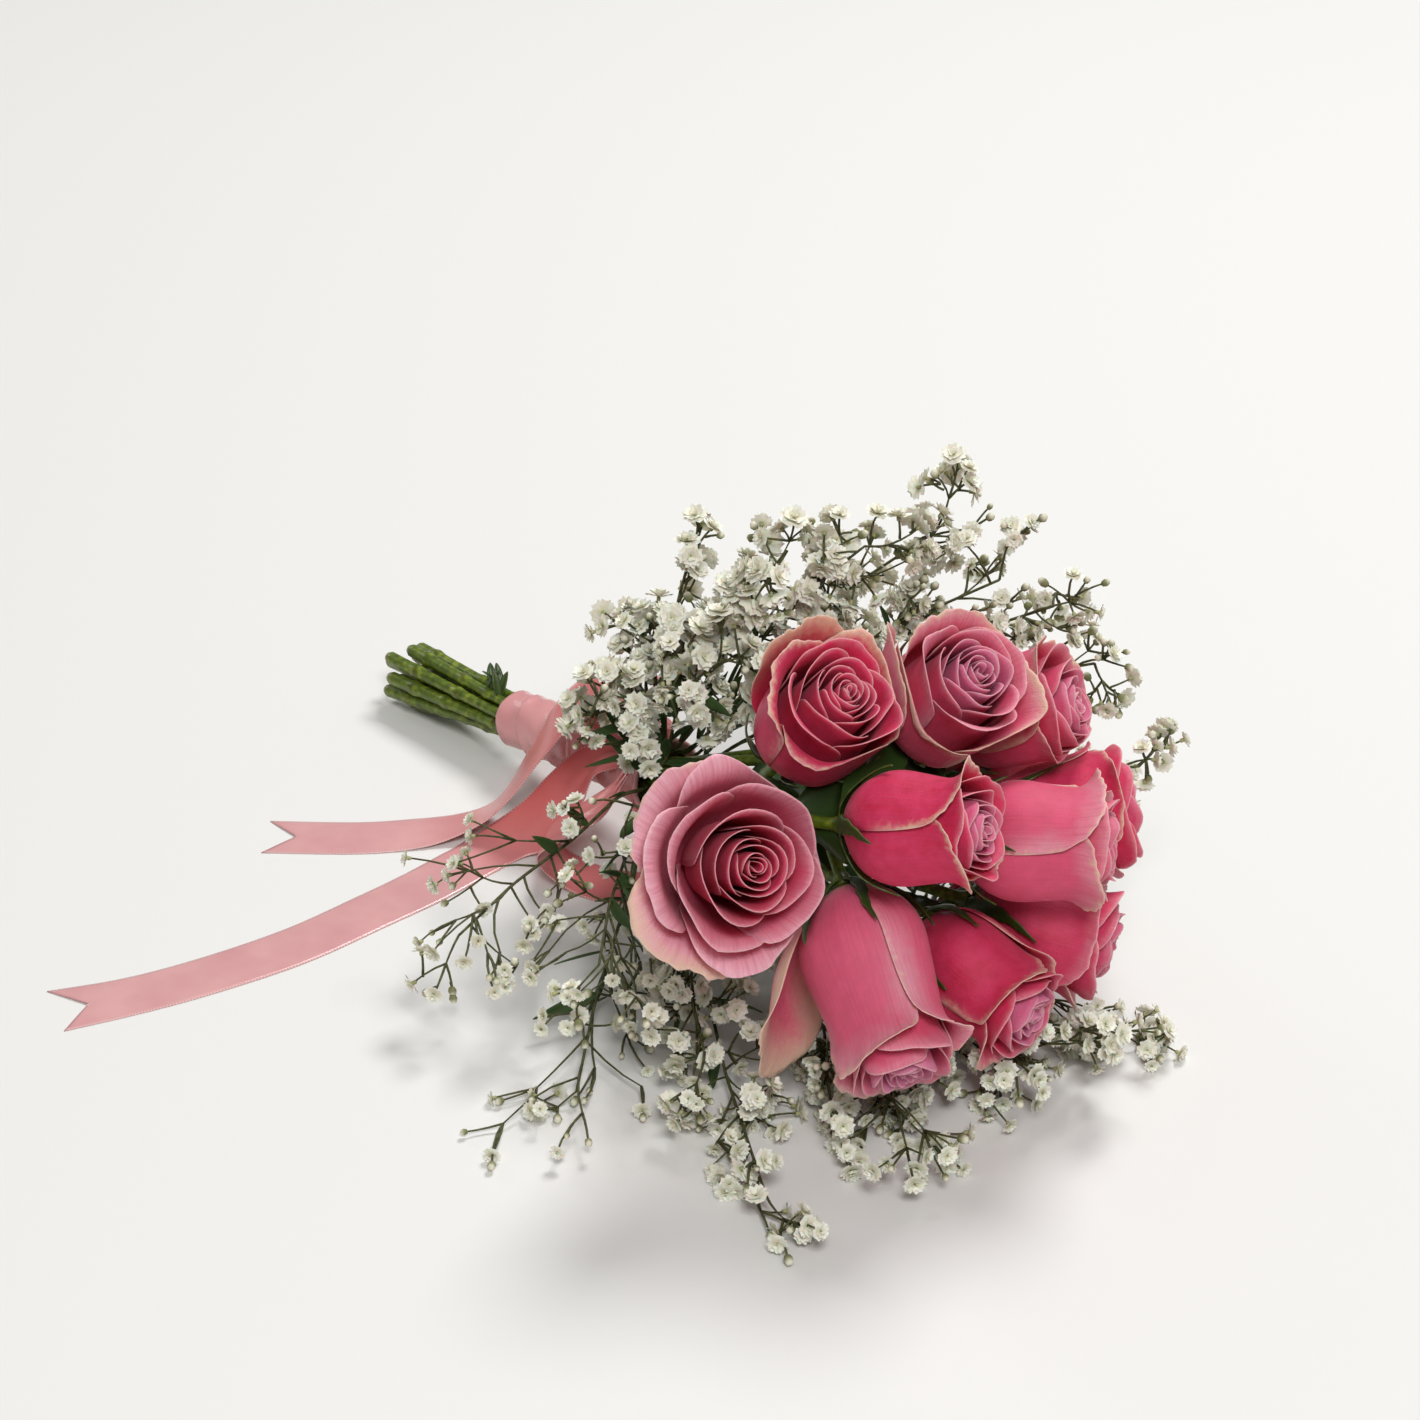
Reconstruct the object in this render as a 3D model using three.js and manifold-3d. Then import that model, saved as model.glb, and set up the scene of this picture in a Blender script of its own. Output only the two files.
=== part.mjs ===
// A bridal bouquet of twelve pink roses with a collar of baby's breath. The stems are bound,
// wrapped in satin ribbon and tied with a bow, and the bouquet lies on its side on a table.
//
// Millimetres, z up, with the table top at z = 0. Seen from the front, x runs to the right
// and y runs away. Places are first given in a working frame whose zero is on the table in
// front of the wrap, and the whole group is then moved so that the middle of the bouquet's
// box is at x = 0, y = 0.
import * as THREE from 'three';
import { mergeVertices } from 'three/addons/utils/BufferGeometryUtils.js';
import Module from 'manifold-3d';

const wasm = await Module();
wasm.setup();

const v = (x, y, z) => new THREE.Vector3(x, y, z);

// Where the middle of the bouquet's box lies in the working frame
const CENTRE_X = -41.45;
const CENTRE_Y = -179.4;

// The eye that the roses' places are told from, and the middle of the flower head
const EYE = v(0, -1360, 785);
const HEAD = v(65, -258, 90);

// The bound handle: the middle of the cut ends, of the wrap's lower edge and of the binding
const STEM_END = v(-137.5, 13, 13.2);
const WRAP_END = v(-83.5, -46, 22.5);
const NECK = v(-23, -113, 34);

const STEM_RADIUS = 2.3;
const OUTER_RING = 7.7;
const INNER_RING = 2.8;
const CUT_END_SPREAD = 1.55;
const HANDLE_TWIST = -0.7;

const PETAL_THICKNESS = 0.8;
const RIBBON_THICKNESS = 0.8;
const SEAT_GAP = 0.3;

// Colours of the finishes
const PETAL = new THREE.MeshStandardMaterial({ color: 0xd9496f, roughness: 0.6, metalness: 0 });
const STEM = new THREE.MeshStandardMaterial({ color: 0x5c8a2a, roughness: 0.6, metalness: 0 });
const SATIN = new THREE.MeshStandardMaterial({ color: 0xd98f92, roughness: 0.35, metalness: 0 });
const TAPE = new THREE.MeshStandardMaterial({ color: 0x6f8f4a, roughness: 0.8, metalness: 0 });
const SPRAY = new THREE.MeshStandardMaterial({ color: 0xe8e6dc, roughness: 0.8, metalness: 0 });

// The view's own directions at the head: to the right, up and towards the eye
const NEAR = EYE.clone().sub(HEAD).normalize();
const RIGHT = v(1, 0, 0);
const UP = NEAR.clone().cross(RIGHT).normalize();

// Roses as they are seen from the eye. at: the middle of the face, in millimetres right, up
// and near from the head's middle. faces: the way the face looks, in the same directions.
// height: receptacle to rim. belly: widest radius. open: 0 a bud, 1 wide open. guards: loose
// outer petals, each as [turn round the bloom in degrees from up, lean outwards, length].
const ROSES = [
  { at: [-46, -7, 71], faces: [0.38, -0.05, 0.92], height: 50, belly: 22.5, open: 0.9, guards: [] },
  { at: [-14, 54, 60], faces: [0.42, 0.38, 0.82], height: 54, belly: 22, open: 0.25, guards: [[8, 7, 60]] },
  { at: [33, 62, 46], faces: [0.46, 0.34, 0.8], height: 52, belly: 21.5, open: 0.28, guards: [[72, 22, 54]] },
  { at: [69, 53, 2], faces: [0.88, 0.15, 0.35], height: 52, belly: 21.5, open: 0.28, guards: [] },
  { at: [32, 6, 74], faces: [0.87, -0.04, 0.48], height: 55, belly: 23, open: 0.1, guards: [] },
  { at: [78, 1, 32], faces: [0.98, -0.06, 0.1], height: 57, belly: 24, open: 0.15, guards: [] },
  { at: [89, 15, -22], faces: [0.98, 0.12, -0.1], height: 56, belly: 22, open: 0.35, guards: [] },
  { at: [6, -77, 46], faces: [0.3, -0.9, 0.32], height: 75, belly: 26, open: 0.12, guards: [[150, 24, 76]] },
  { at: [51, -60, 24], faces: [0.76, -0.54, 0.4], height: 57, belly: 23, open: 0.12, guards: [] },
  { at: [81, -36, -10], faces: [0.93, -0.3, 0.1], height: 55, belly: 22, open: 0.3, guards: [] },
  { at: [47, 38, -64], faces: [0.6, 0.25, -0.76], height: 52, belly: 22, open: 0.3, guards: [] },
  { at: [56, -41, -64], faces: [0.75, -0.3, -0.59], height: 52, belly: 22, open: 0.3, guards: [] },
];

// A bloom's petals by rank, from 0 at the heart to 1 outside. Two whorls of four stand free,
// the others close round each other as layers of the heart.
const WHORLS = [{ rank: 1, root: 1, shift: 0, gap: 2 }, { rank: 0.62, root: 2, shift: 1, gap: 3.9 }];
const HEART_WALL = 0.4;
const HEART_LAYERS = [0.27, 0.15, 0.06];
const BASE_RADIUS = 2;
const BOWL_ANGLE = 78 * Math.PI / 180;

// Sprays of baby's breath: where each one's flowers gather, how far they spread round that
// place, and how far the stalk bows up on its way
const SPRAYS = [
  { to: [-12, -128, 128], spread: 26, bow: 10 },
  { to: [-20, -122, 98], spread: 20, bow: 14 },
  { to: [-36, -140, 74], spread: 22, bow: 22 },
  { to: [5, -165, 118], spread: 20, bow: 8 },
  { to: [30, -150, 158], spread: 22, bow: 8 },
  { to: [60, -150, 160], spread: 22, bow: 8 },
  { to: [90, -114, 148], spread: 26, bow: 8 },
  { to: [134, -158, 138], spread: 24, bow: 8 },
  { to: [150, -168, 118], spread: 22, bow: 8 },
  { to: [165, -205, 92], spread: 16, bow: 4 },
  { to: [157, -260, 9], spread: 22, bow: -6 },
  { to: [121, -288, 20], spread: 22, bow: -6 },
  { to: [72, -322, 14], spread: 24, bow: -8 },
  { to: [20, -360, 7], spread: 24, bow: -6 },
  { to: [-2, -296, 24], spread: 24, bow: 0 },
  { to: [-97, -233, 34], spread: 26, bow: 2 },
  { to: [-50, -296, 6], spread: 26, bow: -2 },
  { to: [-42, -262, 40], spread: 26, bow: 4 },
  { to: [114, -140, 140], spread: 26, bow: 6 },
  { to: [60, -105, 96], spread: 26, bow: 6 },
];
const MOUTH_RADIUS = 12.15;
const MOUTH_DEPTH = 5;
const PAST_MOUTH = 11;
const STALK_RADIUS = 0.75;
const TWIG_RADIUS = 0.55;
const FLORET_RADIUS = 4.7;
const BUD_RADIUS = 1.5;

// Ribbon pieces as pairs of points, one on each edge, from the knot outwards
const SHORT_TAIL = [
  [[-22, -98.5, 52.5], [-16, -99.5, 56]],
  [[-26, -72, 60], [-19, -92, 66]],
  [[-42, -67, 61], [-31, -90, 68]],
  [[-54, -74, 58], [-45, -98, 66]],
  [[-64.5, -82.5, 51], [-55.5, -105, 57]],
  [[-71, -88, 41], [-64, -111, 48]],
  [[-78, -90, 29], [-73, -113, 37]],
  [[-84.5, -89, 16], [-82, -113, 24]],
  [[-93, -88, 5], [-93, -113, 12]],
  [[-106, -90, 0.8], [-108, -114, 3.5]],
  [[-124, -93, 0], [-124, -118, 0.6]],
  [[-149, -96, 0], [-149, -121, 0]],
  [[-187, -95, 0], [-188, -120, 0]],
];
const LONG_TAIL = [
  [[-31.4, -110.6, 47.4], [-36.4, -117.4, 40.4]],
  [[-41, -104, 46.5], [-48, -117, 36]],
  [[-55, -101, 39], [-53, -119, 24]],
  [[-67, -102, 28], [-59, -119, 11]],
  [[-79, -102, 14], [-68, -123, 3.5]],
  [[-94, -105, 3.5], [-78, -125, 0.8]],
  [[-109, -118, 0], [-92, -138, 0]],
  [[-127, -137, 0], [-110, -157, 0]],
  [[-145, -154, 0], [-130, -175, 0]],
  [[-172, -178, 0], [-161, -202, 0]],
  [[-204, -199, 0], [-196, -224, 0]],
  [[-232, -213, 0], [-224, -238, 0]],
  [[-261, -222, 0], [-250, -249, 0]],
];
const UPPER_LOOP = [
  [[-30.6, -102.4, 53.6], [-30.6, -109, 53.6]],
  [[-37, -86, 58], [-36, -107, 60]],
  [[-47, -82, 58.5], [-46, -105, 61]],
  [[-54, -84, 54], [-53, -106, 56]],
  [[-49, -84, 49.5], [-49, -106, 51.5]],
  [[-41, -88, 49], [-41, -108, 51]],
  [[-31.4, -102, 49.8], [-31, -109, 50.2]],
];
const LOWER_LOOP = [
  [[-34, -119, 43], [-34, -124, 39]],
  [[-40, -129, 40], [-44, -149, 35]],
  [[-52, -130, 31], [-60, -153, 27]],
  [[-65, -124, 17], [-71, -147, 14]],
  [[-58, -125, 4], [-62, -149, 3]],
  [[-40, -133, 0], [-46, -157, 0]],
  [[-18, -136, 1], [-21, -160, 1]],
  [[-12, -133, 11], [-11, -155, 9]],
  [[-22, -134, 20], [-22, -149, 20]],
  [[-32, -126, 30], [-32, -134, 29]],
];
const NOTCH_DEPTH = 13;

const draw = (k) => {
  const s = Math.sin(k * 12.9898 + 78.233) * 43758.5453;
  return s - Math.floor(s);
};
const mix = (a, b, t) => a + (b - a) * t;
const radians = (degrees) => degrees * Math.PI / 180;
const ease = (t) => {
  const c = Math.min(1, Math.max(0, t));
  return c * c * (3 - 2 * c);
};

// Turns a closed list of corners and triangles into a solid
function solid(corners, triangles) {
  const geometry = new THREE.BufferGeometry();
  geometry.setAttribute('position', new THREE.Float32BufferAttribute(corners.flatMap((p) => [p.x, p.y, p.z]), 3));
  geometry.setIndex(triangles.flat());
  return toSolid(geometry);
}

function toSolid(geometry) {
  const plain = geometry.clone();
  plain.deleteAttribute('normal');
  plain.deleteAttribute('uv');
  const merged = mergeVertices(plain, 1e-4);
  const vertProperties = new Float32Array(merged.attributes.position.array);
  const triVerts = new Uint32Array(merged.index.array);
  const made = new wasm.Manifold(new wasm.Mesh({ numProp: 3, vertProperties, triVerts }));
  if (made.volume() >= 0) return made;
  const turned = triVerts.slice();
  for (let k = 0; k < turned.length; k += 3) [turned[k], turned[k + 1]] = [turned[k + 1], turned[k]];
  return new wasm.Manifold(new wasm.Mesh({ numProp: 3, vertProperties, triVerts: turned }));
}

function toGeometry(body) {
  const mesh = body.getMesh();
  const geometry = new THREE.BufferGeometry();
  geometry.setAttribute('position', new THREE.BufferAttribute(mesh.vertProperties, 3));
  geometry.setIndex(new THREE.BufferAttribute(mesh.triVerts, 1));
  return geometry;
}

// Joins pieces that overlap into one body, and drops any scrap that stays loose
function fuse(pieces) {
  const joined = pieces.reduce((sum, piece) => sum.add(piece));
  const bodies = joined.decompose();
  return bodies.reduce((best, body) => (body.volume() > best.volume() ? body : best));
}

// The two faces of a thin sheet with a grid of points rows[j][i] on its middle surface
function faces(rows, thickness) {
  const n = rows.length;
  const m = rows[0].length;
  const normalAt = (j, i) => {
    const along = rows[Math.min(j + 1, n - 1)][i].clone().sub(rows[Math.max(j - 1, 0)][i]);
    const across = rows[j][Math.min(i + 1, m - 1)].clone().sub(rows[j][Math.max(i - 1, 0)]);
    return across.cross(along).normalize();
  };
  const face = (side) => rows.map((row, j) => row.map((p, i) => (
    p.clone().addScaledVector(normalAt(j, i), side * thickness / 2))));
  return { outer: face(1), inner: face(-1) };
}

// A thin blade on such a grid. Both faces are split into triangles alike, so that they never
// cross.
function blade(rows, thickness) {
  const n = rows.length;
  const m = rows[0].length;
  const { outer, inner } = faces(rows, thickness);
  const corners = [...inner.flat(), ...outer.flat()];
  const at = (face, j, i) => face * n * m + j * m + i;
  const triangles = [];
  for (let j = 0; j < n - 1; j += 1) {
    for (let i = 0; i < m - 1; i += 1) {
      triangles.push([at(0, j, i), at(0, j + 1, i + 1), at(0, j + 1, i)]);
      triangles.push([at(0, j, i), at(0, j, i + 1), at(0, j + 1, i + 1)]);
      triangles.push([at(1, j, i), at(1, j + 1, i), at(1, j + 1, i + 1)]);
      triangles.push([at(1, j, i), at(1, j + 1, i + 1), at(1, j, i + 1)]);
    }
  }
  const rim = [];
  for (let i = 0; i < m - 1; i += 1) rim.push([0, i]);
  for (let j = 0; j < n - 1; j += 1) rim.push([j, m - 1]);
  for (let i = m - 1; i > 0; i -= 1) rim.push([n - 1, i]);
  for (let j = n - 1; j > 0; j -= 1) rim.push([j, 0]);
  rim.forEach(([j, i], k) => {
    const [jn, ni] = rim[(k + 1) % rim.length];
    triangles.push([at(0, j, i), at(1, j, i), at(0, jn, ni)]);
    triangles.push([at(0, jn, ni), at(1, j, i), at(1, jn, ni)]);
  });
  return solid(corners, triangles);
}

// A growing body is a list of corners and a list of triangles. A limb is a row of rings, each
// a list of corners in the same turning sense, the last of them maybe a single point. It
// starts free and closed, or it grows out of an opening, a loop of corners of the body. Rings
// are turned to fit the one before, unless their corners are matched already. Rings round a
// thin section are matched too, and both of its faces are split into triangles alike.
const TURNED = 0;
const MATCHED = 1;
const THIN = 2;
function grow(body, rings, opening, fit = TURNED) {
  const { corners, triangles } = body;
  const add = (ring) => ring.map((p) => corners.push(p) - 1);
  let from = opening ?? add(rings[0]);
  if (opening === undefined) {
    for (let i = 1; i < from.length - 1; i += 1) triangles.push([from[0], from[i + 1], from[i]]);
  }
  const spans = [];
  rings.slice(opening === undefined ? 1 : 0).forEach((ring) => {
    const to = add(fit === TURNED ? nearestTurn(from.map((k) => corners[k]), ring) : ring);
    spans.push(triangles.length);
    const [m, n] = [from.length, to.length];
    if (fit === THIN && m === n) {
      for (let k = 0; k < n; k += 1) {
        const [a, b, c, d] = [from[k], from[(k + 1) % n], to[(k + 1) % n], to[k]];
        if (k < n / 2) triangles.push([a, b, d], [b, c, d]);
        else triangles.push([a, b, c], [a, c, d]);
      }
      from = to;
      return;
    }
    let [i, j] = [0, 0];
    while (i < m || j < n) {
      const onFrom = n === 1 || j >= n || (i < m && (i + 1) / m <= (j + 1) / n);
      if (onFrom) triangles.push([from[i % m], from[(i + 1) % m], to[j % n]]);
      else triangles.push([from[i % m], to[(j + 1) % n], to[j % n]]);
      if (onFrom) i += 1;
      else j += 1;
      if (n === 1 && i >= m) break;
    }
    from = to;
  });
  if (fit === THIN) closeStrip(triangles, from);
  else for (let i = 1; i < from.length - 1; i += 1) triangles.push([from[0], from[i], from[i + 1]]);
  return spans;
}

// Closes the last ring of a thin section, whose corners lie opposite each other in pairs
function closeStrip(triangles, ring) {
  const n = ring.length;
  for (let i = 0; i < n / 2 - 1; i += 1) {
    triangles.push([ring[i], ring[i + 1], ring[n - 1 - i]]);
    triangles.push([ring[i + 1], ring[n - 2 - i], ring[n - 1 - i]]);
  }
}

// The same ring, started at the corner that leaves it least twisted against the one before
function nearestTurn(before, ring) {
  const n = ring.length;
  const twist = (shift) => before.reduce((sum, p, k) => (
    sum + p.distanceTo(ring[(Math.floor(k * n / before.length) + shift) % n])), 0);
  let best = 0;
  for (let shift = 1; shift < n; shift += 1) if (twist(shift) < twist(best)) best = shift;
  return ring.map((_, k) => ring[(k + best) % n]);
}

// Takes a triangle out of a body and gives the opening that it leaves
function openFacet(body, facet) {
  const opening = body.triangles[facet];
  body.triangles[facet] = null;
  return opening;
}

// Takes two neighbouring panels of the same ring out of a body. Each panel is two triangles,
// and start is the ring's first one.
function openPanels(body, start, panel, sides) {
  const at = (k) => start + 2 * (k % sides);
  const [a, b, c, d] = [at(panel), at(panel) + 1, at(panel + 1), at(panel + 1) + 1]
    .map((facet) => openFacet(body, facet));
  return [a[0], a[1], c[1], d[1], b[1], a[2]];
}

function disc(centre, way, radius, count) {
  if (count === 1) return [centre.clone()];
  const level = Math.abs(way.z) > 0.9 ? RIGHT : v(0, 0, 1);
  const side = level.clone().cross(way).normalize();
  const rise = way.clone().cross(side);
  return Array.from({ length: count }, (_, i) => {
    const angle = 2 * Math.PI * i / count;
    return centre.clone()
      .addScaledVector(side, radius * Math.cos(angle))
      .addScaledVector(rise, radius * Math.sin(angle));
  });
}

// Rings across a path of points
function tubeRings(path, radii, sides) {
  return path.map((p, k) => {
    const way = path[Math.min(k + 1, path.length - 1)].clone().sub(path[Math.max(k - 1, 0)]).normalize();
    return disc(p, way, radii[k], sides);
  });
}
const finish = (body) => solid(body.corners, body.triangles.filter((triangle) => triangle !== null));

// A rose's own directions: its axis, and the side of it that is uppermost in the view
function roseFrame(rose) {
  const seen = ([a, b, c]) => RIGHT.clone().multiplyScalar(a).addScaledVector(UP, b).addScaledVector(NEAR, c);
  const axis = seen(rose.faces).normalize();
  const face = HEAD.clone().add(seen(rose.at));
  const base = face.clone().addScaledVector(axis, -0.92 * rose.height);
  const top = UP.clone().addScaledVector(axis, -UP.dot(axis)).normalize();
  const left = axis.clone().cross(top);
  return { ...rose, axis, base, face, top, left };
}
const roses = ROSES.map(roseFrame);

// Neighbouring blooms press flat against each other. The plane between two of them crosses
// the line between their nearest middles, shared by their radii.
function nearestOnAxes(a, b) {
  let best = { distance: Infinity };
  for (let i = 0; i <= 6; i += 1) {
    for (let j = 0; j <= 6; j += 1) {
      const p = a.base.clone().addScaledVector(a.axis, a.height * mix(0.35, 0.95, i / 6));
      const q = b.base.clone().addScaledVector(b.axis, b.height * mix(0.35, 0.95, j / 6));
      const distance = p.distanceTo(q);
      if (distance < best.distance) best = { distance, p, q };
    }
  }
  return best;
}
const TABLE_SINK = 1.6;
const reach = (rose) => rose.belly * (1 + 0.45 * rose.open);
function pressPlanes(rose) {
  const planes = roses.filter((other) => other !== rose).map((other) => {
    const { p, q } = nearestOnAxes(rose, other);
    const normal = q.clone().sub(p).normalize();
    const share = reach(rose) / (reach(rose) + reach(other));
    return { point: p.clone().lerp(q, share), normal };
  });
  planes.push({ point: v(0, 0, -TABLE_SINK), normal: v(0, 0, -1) });
  return planes;
}

// Moves a point back from each plane, softly, so that it never comes closer than gap
const PRESS_DEPTH = 8;
function press(point, planes, gap) {
  const room = PRESS_DEPTH - gap;
  for (const plane of planes) {
    const past = point.clone().sub(plane.point).dot(plane.normal);
    if (past > -PRESS_DEPTH) {
      const kept = -PRESS_DEPTH + room * (1 - Math.exp(-(past + PRESS_DEPTH) / room));
      point.addScaledVector(plane.normal, kept - past);
    }
  }
  return point;
}

// A point at a distance out from a bloom's axis, up along it and at an angle from its top side
function onBloom(rose, out, up, angle) {
  return rose.base.clone()
    .addScaledVector(rose.axis, up)
    .addScaledVector(rose.top, out * Math.cos(angle))
    .addScaledVector(rose.left, out * Math.sin(angle));
}

// The measures of one petal of a rank, turned to a side of the bloom
function petalMeasures(rose, rank, turn) {
  const belly = mix(1.8, rose.belly, rank ** 0.8);
  const lean = radians(mix(-2, mix(-14, 36, rose.open), rank ** 1.6));
  const curl = radians(mix(4, mix(70, 80, rose.open), rank ** 2.4));
  const height = rose.height * (1 - 0.22 * rose.open * rank ** 3) * (0.97 + 0.05 * draw(rank + turn));
  const bowl = (belly - BASE_RADIUS) / 0.592;
  const straight = Math.max(6, (height - 0.705 * bowl) / Math.cos(lean));
  return { belly, lean, curl, bowl, length: bowl + straight, turn };
}
function guardMeasures(rose, [turn, lean, length]) {
  const belly = rose.belly + 3;
  const bowl = (belly - BASE_RADIUS) / 0.592;
  return { belly, lean: radians(lean), curl: radians(25), bowl, length, turn: radians(turn) };
}

// The petal's profile, walked from the base: how far out and how far up it is at each of the
// given shares of its length. The angle from the axis starts wide in the bowl, falls to the
// lean, and grows again by the curl near the rim.
const WALK_STEPS = 40;
const CURL_START = 0.76;
function petalProfile(petal, shares) {
  const step = petal.length / WALK_STEPS;
  const out = [BASE_RADIUS];
  const up = [0];
  for (let k = 0; k < WALK_STEPS; k += 1) {
    const walked = (k + 0.5) * step;
    const share = walked / petal.length;
    const inBowl = Math.min(1, walked / petal.bowl);
    const rolled = Math.max(0, (share - CURL_START) / (1 - CURL_START));
    const angle = BOWL_ANGLE * (1 - inBowl) + petal.lean * ease(inBowl) + petal.curl * rolled ** 1.2;
    out.push(out[k] + step * Math.sin(angle));
    up.push(up[k] + step * Math.cos(angle));
  }
  const read = (list, share) => {
    const place = Math.min(WALK_STEPS - 1e-6, share * WALK_STEPS);
    const k = Math.floor(place);
    return mix(list[k], list[k + 1], place - k);
  };
  return shares.map((share) => [read(out, share), read(up, share)]);
}

// A petal as rings round its thin section: across runs from -1 to 1 between its edges, and the
// rim is lower towards them
const HALF_WIDTH = radians(42);
const PETAL_COLUMNS = 3;
const PETAL_ROWS = [0.3, 0.64, 1];
const OPEN_PETAL_ROWS = [0.3, 0.62, 0.84, 1];
function petalRows(rose, petal, planes, gap) {
  const shares = rose.open > 0.5 ? OPEN_PETAL_ROWS : PETAL_ROWS;
  return shares.map((share) => Array.from({ length: PETAL_COLUMNS + 1 }, (_, i) => {
    const across = -1 + 2 * i / PETAL_COLUMNS;
    const [[out, up]] = petalProfile(petal, [share * (1 - 0.16 * share * Math.abs(across) ** 2.5)]);
    return press(onBloom(rose, out, up, petal.turn + across * HALF_WIDTH), planes, gap);
  }));
}
function petalRings(rose, petal, planes, gap) {
  const { outer, inner } = faces(petalRows(rose, petal, planes, gap), PETAL_THICKNESS);
  return outer.map((row, j) => [...row, ...[...inner[j]].reverse()]);
}

// A loose outer petal is a blade of its own. Its root is sunk into the heart's foot.
const GUARD_GAP = 0.8;
const ROOT_RADIUS = 1.2;
const ROOT_HEIGHT = 2;
function guardBlade(rose, guard, planes) {
  const petal = guardMeasures(rose, guard);
  const root = Array.from({ length: PETAL_COLUMNS + 1 }, (_, i) => {
    const across = -1 + 2 * i / PETAL_COLUMNS;
    return onBloom(rose, ROOT_RADIUS, ROOT_HEIGHT, petal.turn + across * HALF_WIDTH);
  });
  return blade([root, ...petalRows(rose, petal, planes, GUARD_GAP)], PETAL_THICKNESS);
}

// The heart of a bloom: a bowl, and inside its rim the layers of petals that close round each
// other, as folds of one surface. Each fold's rim wavers, as the rims of single petals do.
const HEART_SIDES = 8;
const WALL_SHARES = [0.005, 0.12, 0.19, 0.26, 1];
const FOLD_SHARE = 0.17;
const HEART_GAP = 5.6;
function heart(rose, spin, planes) {
  const profile = petalProfile(petalMeasures(rose, HEART_WALL, 0), WALL_SHARES);
  HEART_LAYERS.forEach((rank) => {
    const [[rimOut, rimUp]] = petalProfile(petalMeasures(rose, rank, 0), [1]);
    const [lastOut, lastUp] = profile[profile.length - 1];
    profile.push([(lastOut + rimOut) / 2, Math.min(lastUp, rimUp) - FOLD_SHARE * rose.height]);
    profile.push([rimOut, rimUp]);
  });
  const rings = profile.map(([out, up], k) => Array.from({ length: HEART_SIDES }, (_, i) => {
    const folds = Math.max(0, k - WALL_SHARES.length + 1);
    const angle = spin + 2 * Math.PI * i / HEART_SIDES;
    const isRim = k === WALL_SHARES.length - 1 || (folds > 0 && folds % 2 === 0);
    const waver = isRim ? 0.04 * rose.height * Math.cos(3 * angle + k) : 0;
    return press(onBloom(rose, out, up + waver, angle), planes, HEART_GAP);
  }));
  const [, lastUp] = profile[profile.length - 1];
  rings.push([rose.base.clone().addScaledVector(rose.axis, lastUp - 0.06 * rose.height)]);
  return rings;
}

function bloom(rose, index) {
  const planes = pressPlanes(rose);
  const spin = rose.guards.length > 0 ? radians(rose.guards[0][0]) : 2 * Math.PI * draw(index + 7);
  const panelTurn = 2 * Math.PI / HEART_SIDES;
  const body = { corners: [], triangles: [] };
  const spans = grow(body, heart(rose, spin, planes), undefined, MATCHED);
  WHORLS.forEach(({ rank, root, shift, gap }) => {
    for (let panel = shift; panel < HEART_SIDES; panel += 2) {
      const petal = petalMeasures(rose, rank, spin + panelTurn * (panel + 1));
      const opening = openPanels(body, spans[root], panel, HEART_SIDES);
      grow(body, petalRings(rose, petal, planes, gap), opening, THIN);
    }
  });
  return fuse([finish(body), ...rose.guards.map((guard) => guardBlade(rose, guard, planes))]);
}

// Directions across the handle and across the way from the neck to the head
const HANDLE = NECK.clone().sub(STEM_END).normalize();
const SIDE = v(0, 0, 1).cross(HANDLE).normalize();
const RISE = HANDLE.clone().cross(SIDE);
const HEADING = HEAD.clone().sub(NECK).normalize();
const around = (centre, angle, radius) => centre.clone()
  .addScaledVector(SIDE, radius * Math.cos(angle))
  .addScaledVector(RISE, radius * Math.sin(angle));

// Each stem takes the place in the binding that lies towards its own bloom: the three blooms
// nearest the middle line take the inner places, the others take the outer ring in turn.
function stemPlaces() {
  const seen = roses.map((rose, index) => {
    const way = rose.base.clone().sub(NECK);
    const off = way.clone().addScaledVector(HEADING, -way.dot(HEADING));
    return { index, radius: off.length(), angle: Math.atan2(off.dot(RISE), off.dot(SIDE)) };
  });
  const byRadius = [...seen].sort((a, b) => a.radius - b.radius);
  const places = [];
  for (const [group, ring] of [[byRadius.slice(0, 3), INNER_RING], [byRadius.slice(3), OUTER_RING]]) {
    const inTurn = group.sort((a, b) => a.angle - b.angle);
    const step = 2 * Math.PI / inTurn.length;
    const shift = inTurn.reduce((sum, one, k) => sum + one.angle - k * step, 0) / inTurn.length;
    inTurn.forEach((one, k) => {
      places[one.index] = { ring, angle: shift + k * step };
    });
  }
  return places;
}
const places = stemPlaces();

// The nearest points of two straight runs, as shares of their lengths
function nearestShares(p, q, r, s) {
  const [d, e, w] = [q.clone().sub(p), s.clone().sub(r), p.clone().sub(r)];
  const [a, b, c, f, g] = [d.dot(d), d.dot(e), e.dot(e), d.dot(w), e.dot(w)];
  const limit = (t) => Math.min(1, Math.max(0, t));
  const across = a * c - b * b;
  const first = across > 1e-6 ? limit((b * g - c * f) / across) : 0;
  const second = limit((b * first + g) / c);
  return [limit((b * second - f) / a), second];
}

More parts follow.
